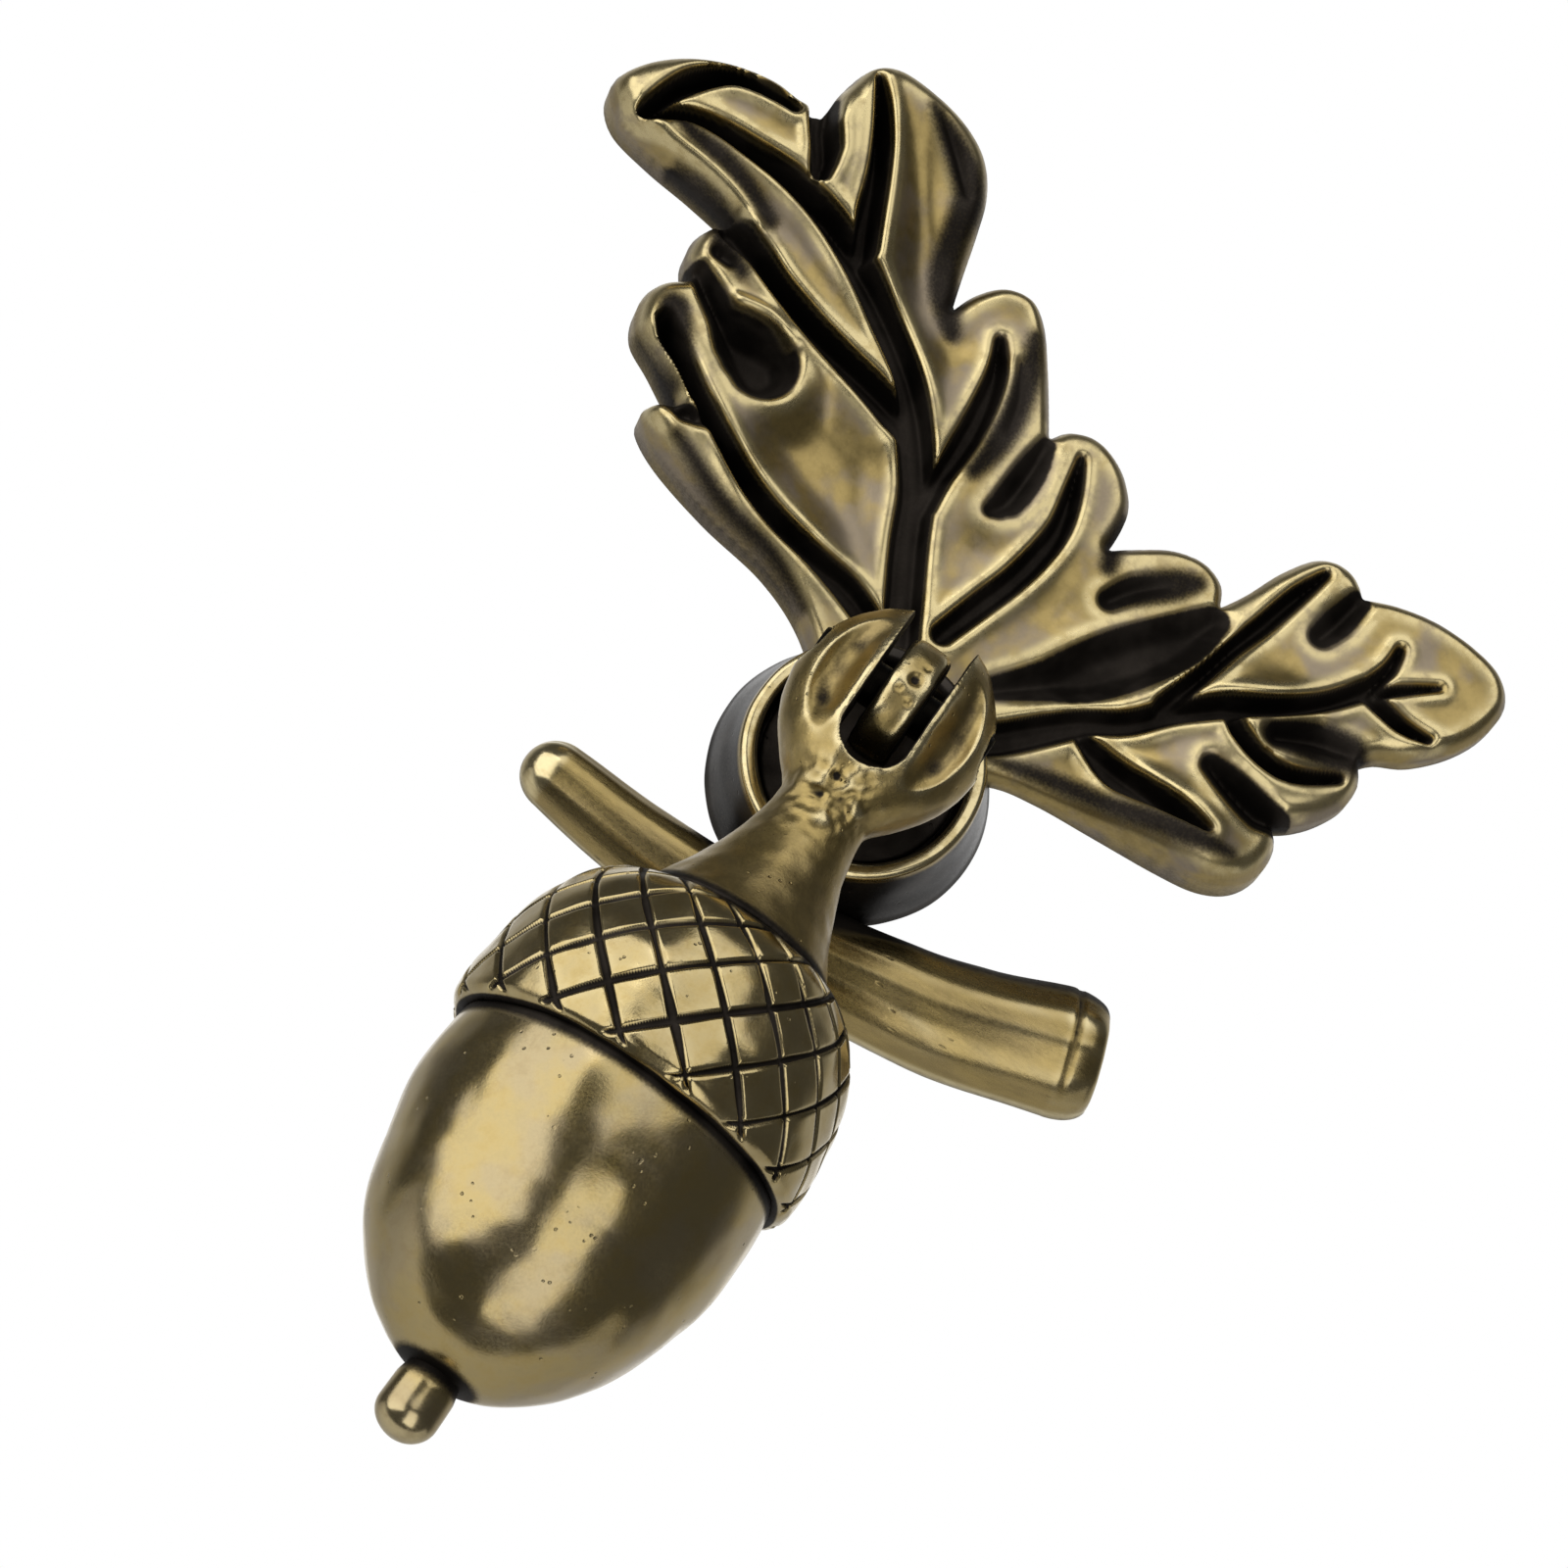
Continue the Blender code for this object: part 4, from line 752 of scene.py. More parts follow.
def make_twig():
    """A half round rod with long streaks and a flat back, thicker to the right, with a cut right end. Its
    upper flank on the right and its part under the boss carry painted shade; it is also darker low down, by
    the back.
    """
    line = curve_through(TWIG_LINE, 0.2)
    travel = np.concatenate([[0.0], np.cumsum(np.hypot(*np.diff(line, axis=0).T))])
    share = travel / travel[-1]
    radius = np.interp(share, [0.0, 0.45, 1.0], [TWIG_LEFT_RADIUS, TWIG_MIDDLE_RADIUS, TWIG_RIGHT_RADIUS])
    ahead = np.gradient(line, axis=0)
    ahead /= np.linalg.norm(ahead, axis=1)[:, None]
    sections = []
    for a in np.radians(np.linspace(84, 4, 14)):
        back = ahead[0] * TWIG_LEFT_RADIUS * math.sin(a)
        sections.append((line[0] - back, TWIG_LEFT_RADIUS * math.cos(a), ahead[0], 0.0))
    sections += [(spot, r, head, 0.0) for spot, r, head in zip(line, radius, ahead)]
    for a in np.radians(np.linspace(4, 90, 22)):
        narrow = TWIG_RIGHT_RADIUS * (1.0 - TWIG_END_NARROWING * (1.0 - math.cos(a)))
        crease = math.exp(-((math.sin(a) * TWIG_END_LENGTH - TWIG_CREASE_PLACE) / TWIG_CREASE_WIDTH) ** 2)
        sections.append((line[-1] + ahead[-1] * TWIG_END_LENGTH * math.sin(a), narrow, ahead[-1], crease))
    for t in (0.8, 0.55, 0.3, 0.1):
        narrow = TWIG_RIGHT_RADIUS * (1.0 - TWIG_END_NARROWING) * t
        sections.append((line[-1] + ahead[-1] * TWIG_END_LENGTH, narrow, ahead[-1], 0.0))
    sides = 80
    points, faces, crease_and_flank_shade = [], [], []
    for j, (centre, r, head, crease) in enumerate(sections):
        across = np.array([-head[1], head[0]])
        for k in range(sides + 1):
            a = math.pi * k / sides
            streak = noise.noise(Vector((3.0 * math.cos(a), 3.0 * math.sin(a), 0.010 * j)))
            knot = noise.noise(Vector((0.9 * math.cos(a) + 7, 0.9 * math.sin(a), 0.05 * j)))
            cut = crease * max(0.0, math.sin(a + 0.5))
            uneven = 1.0 + TWIG_STREAKS * streak + TWIG_KNOTS * knot - 0.02
            reach = min(r * uneven, r) - TWIG_CREASE_DEPTH * cut
            spot = centre + across * reach * math.cos(a)
            points.append((spot[0] * MM, spot[1] * MM, (0.02 + reach * TWIG_CROWN * math.sin(a)) * MM))
            # Painted shade on the upper flank of the right part; the crease holds patina
            upper = smooth(0.55, 0.85, math.cos(a)) * smooth(-6.0, 2.0, spot[0])
            crease_and_flank_shade.append(max(0.75 * cut, 0.8 * float(upper)))
    row = sides + 1
    for j in range(len(sections) - 1):
        ring = [j * row + k for k in range(row)]
        faces += [(a, b, b + row, a + row) for a, b in zip(ring, ring[1:] + ring[:1])]
    faces.append(tuple(reversed(range(row))))
    faces.append(tuple(range((len(sections) - 1) * row, len(sections) * row)))
    twig = mesh_object("twig", points, faces)
    fix_normals(twig)
    crease_and_flank_shade = np.array(crease_and_flank_shade)
    # Also painted shade where the twig runs under the boss, and darker low down by the back
    age(twig, 12, 0.06, lambda p: (crease_and_flank_shade + smooth(9.6, 7.8, np.hypot(p[:, 0], p[:, 1]))
                                   + 0.5 * smooth(0.9, 0.1, p[:, 2])))
    soft_shading(twig, 60.0)
    return stand_out(twig)


def post_shadow(places):
    """Painted shade of the fork: black low down and on the flanks of the tongue, inside the fork."""
    low = smooth(PIN_HEIGHT + 0.9, PIN_HEIGHT - 0.6, places[:, 2])
    flank = smooth(EYE_THICKNESS / 2 - 0.14, EYE_THICKNESS / 2 - 0.03, np.abs(places[:, 0]))
    collar = smooth(BOSS_RIM_RADIUS - BOSS_RIM_WIDTH - 1.3, BOSS_RIM_RADIUS - BOSS_RIM_WIDTH - 0.8,
                    np.hypot(places[:, 0], places[:, 1]))
    return low * (1.0 - 0.75 * collar) + flank


def make_post():
    """Shank, domed collar and the round-ended tongue, as one skin."""
    seat = BOSS_HEIGHT - RECESS_DEPTH + SEAT_GAP
    collar = BOSS_RIM_RADIUS - BOSS_RIM_WIDTH - SEAT_GAP
    dome = [(collar * t, seat + COLLAR_THICKNESS + COLLAR_DOME * (1.0 - t * t) ** 2)
            for t in np.linspace(0.0, 1.0, 30)]
    hole_end = SHANK_SET_BACK + SCREW_HOLE_DEPTH
    profile = dome + [(collar, seat), (SHANK_RADIUS, seat), (SHANK_RADIUS, SHANK_SET_BACK)]
    profile += [(SCREW_HOLE_RADIUS, SHANK_SET_BACK), (SCREW_HOLE_RADIUS, hole_end - SCREW_HOLE_CONE)]
    profile.append((0.0, hole_end))
    post = turned("post_and_eye", profile, SKIN_SIDES)
    half = EYE_THICKNESS / 2
    side = math.degrees(math.acos(EYE_NECK_WIDTH / 2 / EYE_RADIUS))
    foot = seat + COLLAR_THICKNESS / 2
    outline = [(PIN_RISE + EYE_NECK_WIDTH / 2, foot)]
    outline += arc((PIN_RISE, PIN_HEIGHT), EYE_RADIUS, -side, 180 + side, 60)
    outline += [(PIN_RISE - EYE_NECK_WIDTH / 2, foot)]
    count = len(outline)
    points = [(x * MM, y * MM, z * MM) for x in (-half, half) for y, z in outline]
    faces = [tuple(range(count)), tuple(reversed(range(count, 2 * count)))]
    faces += [(k, k + count, (k + 1) % count + count, (k + 1) % count) for k in range(count)]
    tongue = mesh_object("tongue", points, faces)
    fix_normals(tongue)
    bevel = tongue.modifiers.new("Round", "BEVEL")
    bevel.width = EYE_EDGE_ROUND * MM
    bevel.segments = 6
    bevel.limit_method = "ANGLE"
    bevel.angle_limit = math.radians(50)
    joined(post, applied(tongue), "UNION")
    joined(post, rod(PIN_RADIUS + PIN_FIT, 3.0, (0, PIN_RISE, PIN_HEIGHT), "X"), "DIFFERENCE")
    remeshed(post, POST_VOXEL, 4)
    roughen(post, 1.1, 0.06, 11.0)
    for x, y, radius, depth in EYE_PITS:
        swell(post, (x, PIN_RISE + y, PIN_HEIGHT), radius, -depth, 2)
    age(post, 20, 0.10, post_shadow)
    soft_shading(post, 80.0)
    return stand_out(post)


def stem_profile():
    """(radius, height) down the fork's egg shape, the waist of the neck and the trumpet onto the cap."""
    wide, top, waist = FORK_HALF_WIDTH, FORK_TOP, NECK_WAIST
    egg = [(0.0, top), (0.30 * wide, 0.97 * top), (0.55 * wide, 0.82 * top), (0.78 * wide, 0.53 * top),
           (0.94 * wide, 0.17 * top), (wide, -0.12 * waist), (0.95 * wide, -0.37 * waist),
           (0.83 * wide, -0.58 * waist)]
    neck = [(NECK_RADIUS + 0.36 * (wide - NECK_RADIUS), -0.76 * waist), (NECK_RADIUS * 1.08, -0.9 * waist),
            (NECK_RADIUS, -waist)]
    flare = [(NECK_RADIUS + (FLARE_RADIUS - NECK_RADIUS) * t**1.6, -(waist + (FLARE_END - waist) * t))
             for t in (0.25, 0.5, 0.75, 1.0)]
    return curve_through(egg + neck + flare, 0.3)


def swell(obj, centre, radius, height, facing=1):
    """Raises a soft bump, or sinks a dent, on the side that faces along an axis."""
    places, normals = shape_of(obj)
    a, b = [axis for axis in range(3) if axis != facing]
    gap = np.hypot(places[:, a] - centre[a], places[:, b] - centre[b])
    push = height * smooth(radius, 0.0, gap) * (places[:, facing] * centre[facing] > 0)
    reshape(obj, places + normals * push[:, None])


def dish_reach(places):
    """How far each vertex is from the middle of the oval dish in its ear; 1 at the dish's edge."""
    x, z = places[:, 0], places[:, 2]
    middle = DISH_OFFSET - DISH_BEND * (z - DISH_MIDDLE) ** 2
    return np.hypot((np.abs(x) - middle) / DISH_HALF_WIDTH, (z - DISH_MIDDLE) / DISH_HALF_LENGTH)


def sink_dishes(obj):
    """Presses a long curved oval into the front and the rear of both ears, beside the slot."""
    places = shape_of(obj)[0]
    x, y = places[:, 0], places[:, 1]
    reach = dish_reach(places)
    surface = (np.abs(y) > PIN_RADIUS + PIN_FIT + 0.2) & (np.abs(x) > SLOT_HALF_WIDTH + 0.12)
    depth = DISH_DEPTH * np.clip(1.0 - reach**2.2, 0.0, 1.0) ** 1.25 * surface
    places[:, 1] -= np.sign(y) * np.minimum(depth, np.abs(y) * 0.45)
    reshape(obj, places)


def fork_shadow(places):
    """Painted shade: black in the slot and the bore, dark where the flare meets the cap, and darker in the
    dishes.
    """
    x, y, z = np.abs(places[:, 0]), np.abs(places[:, 1]), places[:, 2]
    below = np.minimum(z + SLOT_BOTTOM - SLOT_HALF_WIDTH, 0.0)
    slot = smooth(SLOT_HALF_WIDTH + 0.14, SLOT_HALF_WIDTH + 0.07, np.hypot(x, below))
    bore = smooth(PIN_RADIUS + 0.3, PIN_RADIUS + 0.1, np.hypot(y, z))
    foot = 0.9 * smooth(-FLARE_END + 0.9, -FLARE_END + 0.1, z)
    dish = 0.2 * smooth(1.0, 0.5, dish_reach(places))
    return slot + bore + foot + dish


def make_fork():
    """Fork, neck and flare as one skin, slotted for the eye, dished on its ears and pierced for the pin."""
    inside_cap = -(CAP_TOP + 0.9)
    profile = [tuple(p) for p in stem_profile()] + [(FLARE_RADIUS * 0.8, inside_cap), (0.0, inside_cap)]
    profile[0] = (0.0, FORK_TOP)
    fork = turned("fork_and_neck", profile, SKIN_SIDES)
    for v in fork.data.vertices:
        v.co.y *= 1.0 - (1.0 - FORK_FLATNESS) * float(smooth(-NECK_WAIST, -0.4 * NECK_WAIST, v.co.z / MM))
    deep = FORK_HALF_WIDTH + 1.0
    round_end = SLOT_HALF_WIDTH - SLOT_BOTTOM
    slot = box((-SLOT_HALF_WIDTH, -deep, round_end), (SLOT_HALF_WIDTH, deep, FORK_TOP + 1.0))
    joined(fork, slot, "DIFFERENCE")
    joined(fork, rod(SLOT_HALF_WIDTH, deep, (0, 0, round_end), "Y"), "DIFFERENCE")
    joined(fork, rod(PIN_RADIUS + PIN_FIT, FORK_HALF_WIDTH + 2.0, (0, 0, 0), "X"), "DIFFERENCE")
    remeshed(fork, FORK_VOXEL, 3)
    sink_dishes(fork)
    roughen(fork, 0.9, 0.05, 21.0)
    roughen(fork, 1.7, 0.16, 23.0,
            lambda p: np.exp(-(p[:, 0] ** 2 + (p[:, 2] - ROUGH_MIDDLE) ** 2) / ROUGH_REACH**2))
    for x, z, radius, height in CASTING_MARKS:
        swell(fork, (x, -FORK_FLATNESS * FORK_HALF_WIDTH, z), radius, height)
    age(fork, 26, 0.10, fork_shadow)
    soft_shading(fork, 80.0)
    return hang(fork)


def cap_profile():
    """(radius, height) along the cap's engraved part: the dome from the flare down, then an upright side."""
    base = CAP_BOTTOM - CAP_BAND - CAP_SIDE
    rise = base - CAP_TOP
    shoulder = FLARE_RADIUS + 0.1
    turns = np.radians(np.linspace(90, 0, 161))
    radius = shoulder + (CAP_RADIUS - shoulder) * np.cos(turns).clip(0) ** 0.92
    dome = np.column_stack([radius, -(base - rise * np.sin(turns) ** 1.15)])
    return np.vstack([dome, [CAP_RADIUS, -(base + CAP_SIDE)]])


def make_cap():
    """The dome with flat cells between two families of slanting grooves, and its plain band."""
    profile = cap_profile()
    lengths = np.hypot(*np.diff(profile, axis=0).T)
    climb = np.concatenate([[0.0], np.cumsum(lengths / ((profile[1:, 0] + profile[:-1, 0]) / 2))])
    band = [(CAP_RADIUS, h) for h in np.linspace(profile[-1, 1], CAP_ROLL - CAP_BOTTOM, 5)[1:]]
    band += arc((CAP_RADIUS - CAP_ROLL, CAP_ROLL - CAP_BOTTOM), CAP_ROLL, 0, -88, 18)[1:]
    band += [(NUT_RADIUS - 0.2, -CAP_BOTTOM), (NUT_RADIUS - 0.6, -CAP_BOTTOM + 0.4)]
    columns = COLUMNS_PER_LINE * LATTICE_LINES
    rows = round(climb[-1] / (2 * math.pi / columns))
    spacing = 2 * math.pi / LATTICE_LINES
    at = np.linspace(0.0, climb[-1], rows + 1)
    radius, height = np.interp(at, climb, profile[:, 0]), np.interp(at, climb, profile[:, 1])
    steps = np.diff([(CAP_RADIUS, height[-1])] + band, axis=0)
    band_at = at[-1] + np.cumsum(np.hypot(*steps.T)) / CAP_RADIUS
    at = np.concatenate([at, band_at])
    radius = np.concatenate([radius, [r for r, h in band]])
    height = np.concatenate([height, [h for r, h in band]])
    slope = np.gradient(np.column_stack([radius, height]), axis=0)
    slope /= np.linalg.norm(slope, axis=1)[:, None]
    u = 2 * math.pi * np.arange(columns) / columns
    up, around = np.meshgrid(at, u, indexing="ij")
    ring, level = np.broadcast_to(radius[:, None], up.shape), np.broadcast_to(height[:, None], up.shape)
    cell = spacing * ring / math.sqrt(2.0)
    turns = ((around + up) / spacing) % 1.0, ((around - up) / spacing) % 1.0
    groove = np.minimum(*[np.minimum(turn, 1 - turn) * cell for turn in turns])
    fade = smooth(0.1, 0.5, -CAP_TOP - level) * smooth(-CAP_BOTTOM + 0.12, -CAP_BOTTOM + 0.4, level)
    sunk = (1.0 - smooth(GROOVE_HALF_WIDTH * 0.5, GROOVE_HALF_WIDTH * 1.5, groove)) * fade
    cut = LATTICE_DEPTH * sunk
    out = ring + cut * slope[:, 1][:, None]
    drop = level - cut * slope[:, 0][:, None]
    points = np.stack([out * np.cos(around), out * np.sin(around), drop], axis=2).reshape(-1, 3)
    wear = 0.30 + 0.15 * np.exp(-((groove - 2.2 * GROOVE_HALF_WIDTH) / 0.3) ** 2)
    # Dark joint at the cap's bottom edge and where the flare enters its top, with painted shade from the
    # flare
    seam_and_shade = np.maximum(smooth(0.7, 0.15, -CAP_TOP - level),
                      smooth(-CAP_BOTTOM + 0.14, -CAP_BOTTOM + 0.02, level))
    patina_and_shade = np.maximum(smooth(0.25, 0.65, sunk), seam_and_shade)
    count = len(at)
    faces = []
    for j in range(count - 1):
        for i in range(columns):
            a, b = j * columns + i, j * columns + (i + 1) % columns
            faces.append((a, a + columns, b + columns, b))
    faces.append(tuple(range(columns)))
    faces.append(tuple(reversed(range((count - 1) * columns, count * columns))))
    cap = mesh_object("acorn_cap", points * MM, faces)
    fix_normals(cap)
    weather(cap, wear.ravel(), patina_and_shade.ravel())
    roughen(cap, 0.32, 0.18, 31.0)
    roughen(cap, 0.75, 0.04, 33.0)
    soft_shading(cap, 80.0)
    return hang(cap)


def make_nut():
    """The egg-shaped nut with its small point."""
    length = NUT_BOTTOM - CAP_BOTTOM
    top = -(CAP_BOTTOM - 0.6)
    profile = [(0.0, top), (NUT_RADIUS - CAP_ROLL, top)]
    for t in np.linspace(0.0, 1.0, 90)[:-1]:
        belly = 1.0 + NUT_SWELL * math.sin(math.pi * min(t / 0.45, 1.0))
        r = NUT_RADIUS * belly * (1.0 - t**3.1) ** 0.62
        if r > NUB_RADIUS + 0.1:
            profile.append((r, -(CAP_BOTTOM + length * t)))
    nub_base = -(NUT_BOTTOM - 0.45)
    tip = nub_base - NUB_LENGTH
    profile += [(NUB_RADIUS - 0.15, nub_base - 0.05), (NUB_RADIUS, nub_base - 0.8)]
    profile += [(NUB_RADIUS * math.cos(a), tip + NUB_END * (1.0 - math.sin(a)))
                for a in np.radians(np.linspace(0, 84, 12))]
    nut = turned("acorn_nut", filled(profile + [(0.0, tip)], 0.25), FINE_SIDES)
    roughen(nut, 0.20, 0.16, 41.0)
    roughen(nut, 0.60, 0.036, 43.0)
    places = shape_of(nut)[0]
    ring = np.hypot(places[:, 0], places[:, 1])
    # Dark joint under the cap, fading down the nut as a painted shadow of the cap
    seam_and_shade = smooth(-CAP_BOTTOM - 1.1, -CAP_BOTTOM - 0.1, places[:, 2])
    foot = smooth(1.3, 0.1, np.hypot(ring - NUB_RADIUS - 0.1, places[:, 2] - nub_base))
    end = smooth(tip + 1.6, tip + 0.3, places[:, 2])
    weather(nut, 0.25 + 0.35 * end, np.maximum(seam_and_shade, foot))
    soft_shading(nut, 70.0)
    return hang(nut)


def make_pin():
    """The cross pin, with its rounded ends a little inside the ears."""
    end = 0.2
    profile = [(0.0, PIN_HALF_LENGTH)] + arc((PIN_RADIUS - end, PIN_HALF_LENGTH - end), end, 90, 0, 5)
    profile += arc((PIN_RADIUS - end, -PIN_HALF_LENGTH + end), end, 0, -90, 5) + [(0.0, -PIN_HALF_LENGTH)]
    pin = turned("hinge_pin", filled(profile, 0.3), PIN_SIDES)
    pin.data.transform(Matrix.Rotation(math.pi / 2, 4, "Y"))
    age(pin, 6, 0.05)
    soft_shading(pin)
    return hang(pin)


class Graph:
    """The nodes of a material or a world, with short calls for those that repeat."""

    def __init__(self, owner, shader="Principled BSDF"):
        owner.use_nodes = True
        self.owner = owner
        self.tree = owner.node_tree
        self.shader = self.tree.nodes[shader]

    def node(self, kind, inputs=(), **settings):
        made = self.tree.nodes.new(kind)
        for key, value in settings.items():
            setattr(made, key, value)
        for key, value in dict(inputs).items():
            self.put(made.inputs[key], value)
        return made

    def put(self, socket, value):
        if isinstance(value, bpy.types.NodeSocket):
            self.tree.links.new(value, socket)
        else:
            socket.default_value = value

    def math(self, operation, first, second=0.0, clamp=False):
        made = self.node("ShaderNodeMath", operation=operation, use_clamp=clamp)
        self.put(made.inputs[0], first)
        self.put(made.inputs[1], second)
        return made.outputs[0]

    def blend(self, factor, first, second):
        made = self.node("ShaderNodeMix", data_type="RGBA")
        self.put(made.inputs["Factor"], factor)
        self.put(made.inputs[6], first)
        self.put(made.inputs[7], second)
        return made.outputs[2]

    def span(self, value, low, high, to_low=0.0, to_high=1.0):
        made = self.node("ShaderNodeMapRange", interpolation_type="SMOOTHSTEP")
        for key, number in zip(range(5), (value, low, high, to_low, to_high)):
            self.put(made.inputs[key], number)
        return made.outputs[0]

    def noise(self, place, scale, detail=4.0, roughness=0.55):
        made = self.node("ShaderNodeTexNoise", {"Vector": place, "Scale": scale, "Detail": detail,
                                                "Roughness": roughness})
        return made.outputs["Fac"]

    def place(self, scale=None):
        """The object's own coordinates, times a scale on each axis where one is given."""
        spot = self.node("ShaderNodeTexCoord").outputs["Object"]
        if scale is None:
            return spot
        return self.node("ShaderNodeMapping", {"Vector": spot, "Scale": scale}).outputs[0]

    def attribute(self, name):
        return self.node("ShaderNodeAttribute", attribute_name=name).outputs["Fac"]

    def bump(self, height, distance):
        made = self.node("ShaderNodeBump", {"Height": height, "Distance": distance, "Strength": 1.0})
        return made.outputs[0]

    def surface(self, values):
        """Sets the shader's own inputs by name."""
        for name, value in values.items():
            self.put(self.shader.inputs[name], value)


def shaded(colour, share):
    """The colour with its red, green and blue times the share."""
    return [c * share for c in colour[:3]] + [1.0]


def antique_brass(name, bloom, grain, pits, polish, bright=PALE, stretch=(1.0, 1.0, 1.0),
                  lacquer=(1.0, 0.62)):
    """Cast brass: black patina in the hollows, and the same black where shade is painted, olive gold on the
    panels with grey bloom in clouds, pale worn metal on the edges. Bloom is the clouds' share, grain and
    pits are depths in mm, polish is the roughness of the panels, and lacquer is the metallic share
    and roughness of the patina and the painted shade."""
    graph = Graph(bpy.data.materials.new(name))
    place = graph.place([s / MM for s in stretch])
    clouds = graph.noise(place, 0.28, 3.0)
    mottle = graph.noise(place, 1.1, 5.0, 0.62)
    specks = graph.noise(place, 7.0, 4.0, 0.6)
    fine = graph.noise(place, 6.0, 4.0, 0.65)
    worn = graph.math("MULTIPLY", graph.attribute("wear"), graph.span(mottle, 0.32, 0.58, 0.45, 1.1),
                      clamp=True)
    haze = graph.math("MULTIPLY", graph.span(clouds, 0.42, 0.62), bloom)
    panel = graph.blend(graph.span(mottle, 0.36, 0.66), GOLD, shaded(GOLD, 0.80))
    panel = graph.blend(haze, panel, MAUVE)
    cells = graph.node("ShaderNodeTexVoronoi", {"Vector": place, "Scale": 1.5, "Randomness": 1.0})
    sparse = graph.span(graph.noise(place, 0.5, 2.0), 0.53, 0.63)
    pit = graph.math("MULTIPLY", graph.span(cells.outputs["Distance"], 0.09, 0.17, 1.0, 0.0), sparse)
    marks = graph.math("MULTIPLY", pit, PIT_STAIN if pits else 0.0)
    edged = graph.math("ADD", graph.attribute("patina_and_shade"), graph.span(specks, 0.3, 0.7, -0.05, 0.05))
    # Patina, painted shade and pit stains, all of which turn the metal black
    stain_and_shade = graph.math("MAXIMUM", graph.span(edged, 0.12, 0.88), marks)
    black = graph.blend(graph.span(clouds, 0.40, 0.65), PATINA_AND_SHADE, shaded(PATINA_AND_SHADE, 2.2))
    tone = graph.blend(stain_and_shade, graph.blend(worn, panel, bright), black)
    rough = graph.math("ADD", graph.span(stain_and_shade, 0.0, 1.0, polish, lacquer[1]),
                       graph.span(specks, 0.3, 0.7, -0.03, 0.04))
    rough = graph.math("ADD", rough, graph.math("MULTIPLY", haze, 0.10))
    rough = graph.math("SUBTRACT", rough, graph.math("MULTIPLY", worn, 0.08), clamp=True)
    height = graph.math("SUBTRACT", graph.math("MULTIPLY", fine, grain), graph.math("MULTIPLY", pit, pits))
    graph.surface({"Base Color": tone, "Metallic": graph.span(stain_and_shade, 0.3, 1.0, 1.0, lacquer[0]),
                   "Roughness": rough, "Normal": graph.bump(height, MM)})
    return graph.owner


def dark_steel():
    """The pin's steel painted near black, a painted shade for the pin deep in the fork, with turning marks
    round it.
    """
    graph = Graph(bpy.data.materials.new("pin_steel"))
    marks = graph.noise(graph.place((12.0 / MM, 1.0 / MM, 1.0 / MM)), 1.0, 3.0)
    tone = graph.blend(marks, (0.006, 0.005, 0.004, 1), (0.014, 0.012, 0.009, 1))
    graph.surface({"Base Color": tone, "Metallic": 1.0, "Roughness": graph.span(marks, 0.3, 0.7, 0.42, 0.58),
                   "Normal": graph.bump(marks, 0.01 * MM)})
    return graph.owner


def kept_in_box(obj):
    """Brings the few vertices that noise or a curve has put outside the CAD model's box back to it."""
    places = shape_of(obj)[0] * MM
    obj.data.vertices.foreach_set("co", np.clip(places, cad_box[0], cad_box[1]).ravel())
    obj.data.update()


def dress(obj, material, node, body):
    """Gives a piece its material, the body that it moves with and the node that it stands for."""
    kept_in_box(obj)
    obj.data.materials.clear()
    obj.data.materials.append(material)
    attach(obj, body)
    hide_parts(node)


def make_floor():
    """A plain pale floor, for the most part behind the object."""
    bpy.ops.mesh.primitive_plane_add(size=FLOOR_SIZE, location=(0.0, FLOOR_BACK, FLOOR_HEIGHT))
    floor = bpy.context.active_object
    floor.name = "floor"
    graph = Graph(bpy.data.materials.new("pale_floor"))
    tone = graph.span(graph.noise(graph.place(), 3.0, 3.0), 0.3, 0.7, 0.80, 0.84)
    grey = graph.node("ShaderNodeCombineColor", {0: tone, 1: tone, 2: tone}).outputs[0]
    graph.surface({"Base Color": grey, "Roughness": 0.8})
    floor.data.materials.append(graph.owner)


def set_axes(obj, right, up, back, place):
    """Puts an object at a place, with its own X, Y and Z along the three directions."""
    axes = Matrix((right, up, back)).transposed().to_4x4()
    axes.translation = place
    obj.matrix_world = axes


def make_camera():
    """The photograph's camera, turned to the middle of the pull, with a longer lens."""
    middle = (Vector(cad_box[0]) + Vector(cad_box[1])) / 2
    back = (CAMERA_PLACE - middle).normalized()
    turn = CAMERA_BACK.normalized().rotation_difference(back)
    right, up = turn @ CAMERA_RIGHT, turn @ CAMERA_UP
    lens = bpy.data.cameras.new("camera")
    lens.lens = CAMERA_LENS
    lens.sensor_width = 36.0
    lens.clip_start = 0.01
    camera = link("camera", lens)
    set_axes(camera, right, up, back, CAMERA_PLACE)
    bpy.context.scene.camera = camera
    return middle, right, up, back


def soft_lamp(view, name, direction, distance, size, glow, turn):
    """A rectangular lamp that faces the object."""
    middle, right, up, back = view
    toward = (right * direction[0] + up * direction[1] + back * direction[2]).normalized()
    across = up.cross(toward).normalized()
    across = Matrix.Rotation(math.radians(turn), 3, toward) @ across
    data = bpy.data.lights.new(name, "AREA")
    data.shape = "RECTANGLE"
    data.size, data.size_y = size
    data.energy = glow * math.pi * size[0] * size[1]
    set_axes(link(name, data), across, toward.cross(across), toward, middle + toward * distance)


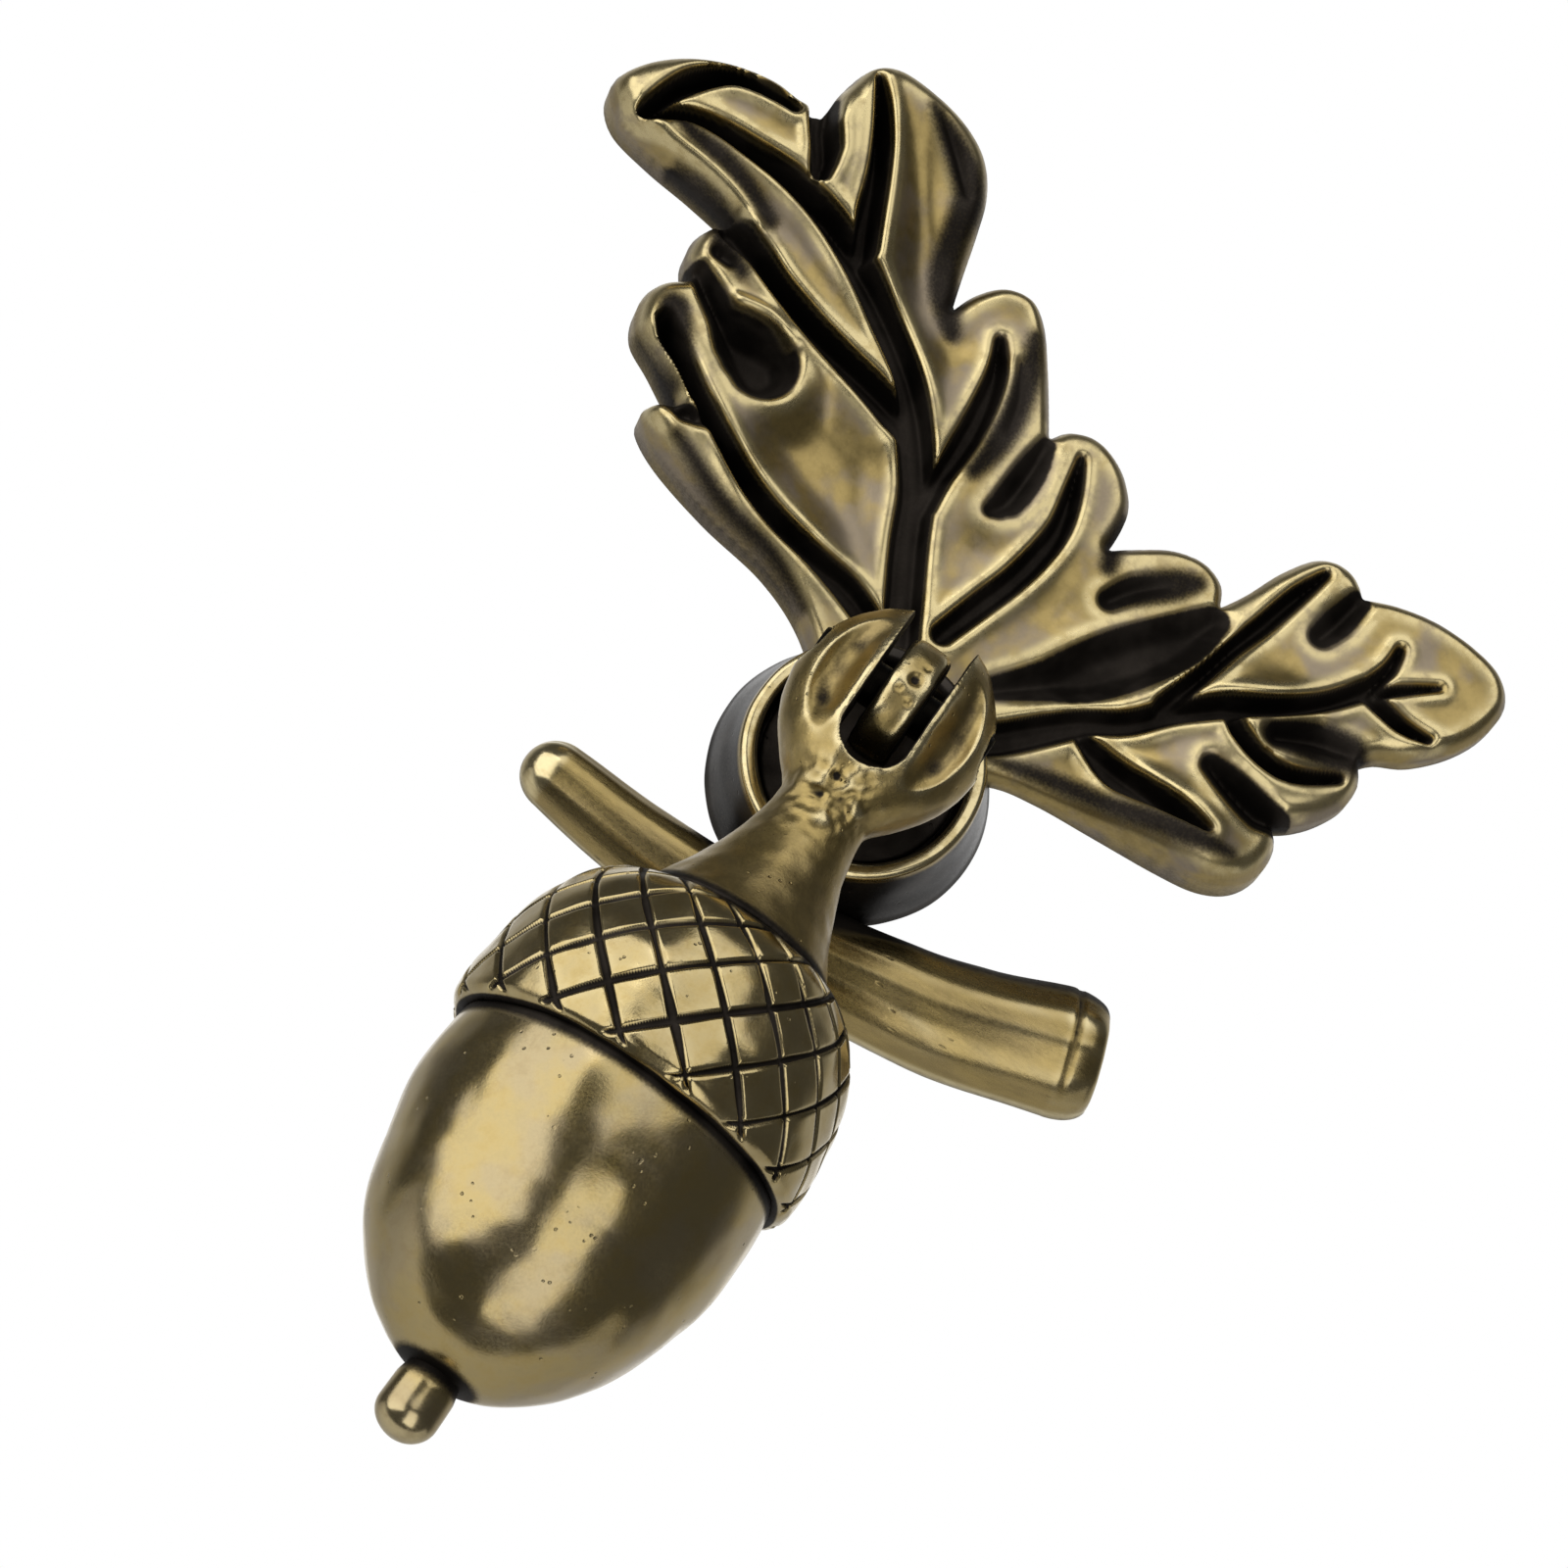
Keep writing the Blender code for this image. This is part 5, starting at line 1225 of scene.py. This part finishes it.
def make_world():
    """White where it is seen, directly or in the metal; a plain level where it only lights."""
    world = bpy.data.worlds.new("studio")
    bpy.context.scene.world = world
    graph = Graph(world, "Background")
    rays = graph.node("ShaderNodeLightPath").outputs
    mirrored = graph.math("MAXIMUM", rays["Is Glossy Ray"], rays["Is Transmission Ray"])
    seen = graph.math("MAXIMUM", rays["Is Camera Ray"], mirrored)
    strength = graph.span(seen, 0.0, 1.0, WORLD_LEVEL, 1.0)
    graph.surface({"Color": (1.0, 1.0, 1.0, 1.0), "Strength": strength})


def make_screen(view):
    """The dim studio round the object, open at the rear: dark before it, pale at the sides and behind."""
    middle, _, up, back = view
    bpy.ops.mesh.primitive_uv_sphere_add(segments=64, ring_count=32, radius=SCREEN_RADIUS, location=middle)
    screen = settled(bpy.context.active_object)
    screen.name = "studio_screen"
    shape = bmesh.new()
    shape.from_mesh(screen.data)
    behind = [f for f in shape.faces
              if (f.calc_center_median() - middle).normalized().dot(back) < SCREEN_OPENING]
    bmesh.ops.delete(shape, geom=behind, context="FACES")
    shape.to_mesh(screen.data)
    shape.free()
    screen.data.shade_smooth()
    graph = Graph(bpy.data.materials.new("screen_cloth"))
    tilted = back * math.cos(BACKDROP_TILT) + up * math.sin(BACKDROP_TILT)
    away = graph.node("ShaderNodeVectorMath", {0: graph.place(), 1: middle}, operation="SUBTRACT")
    away = graph.node("ShaderNodeVectorMath", {0: away.outputs[0]}, operation="NORMALIZE")
    facing = graph.node("ShaderNodeVectorMath", {0: away.outputs[0], 1: tilted}, operation="DOT_PRODUCT")
    glow = graph.span(facing.outputs["Value"], BACKDROP_START, BACKDROP_END, BACKDROP_GLOW, ROOM_GLOW)
    graph.surface({"Base Color": (0.0, 0.0, 0.0, 1.0), "Specular IOR Level": 0.0,
                   "Emission Color": (1.0, 1.0, 1.0, 1.0), "Emission Strength": glow})
    graph.owner.cycles.emission_sampling = "NONE"
    screen.data.materials.append(graph.owner)
    screen.visible_camera = False
    screen.visible_diffuse = False
    screen.visible_shadow = False


def main():
    rough_cast = antique_brass("cast_brass", 0.10, 0.014, 0.08, 0.30)
    pieces = [
        (make_leaves, antique_brass("leaf_brass", 0.72, 0.004, 0.0, 0.33, bright=LEAF_PALE),
         "backplate", "base"),
        (make_twig, antique_brass("twig_brass", 0.12, 0.008, 0.02, 0.26, stretch=(0.35, 1.0, 1.0)),
         "backplate", "base"),
        (make_boss, antique_brass("boss_brass", 0.12, 0.002, 0.02, 0.26, lacquer=(0.85, 0.30)),
         "backplate", "base"),
        (make_post, rough_cast, "eye_post", "base"),
        (make_fork, rough_cast, "acorn_drop", "drop"),
        (make_cap, antique_brass("cap_brass", 0.15, 0.005, 0.02, 0.20), "acorn_drop", "drop"),
        (make_nut, antique_brass("nut_brass", 0.40, 0.004, 0.03, 0.20), "acorn_drop", "drop"),
    ]
    for make, material, node, body in pieces:
        dress(make(), material, node, body)
    dress(make_pin(), dark_steel(), "pivot_pin", "drop")
    make_floor()
    view = make_camera()
    make_world()
    make_screen(view)
    for lamp in LAMPS:
        soft_lamp(view, *lamp)
    bpy.context.scene.view_settings.view_transform = "Standard"


main()
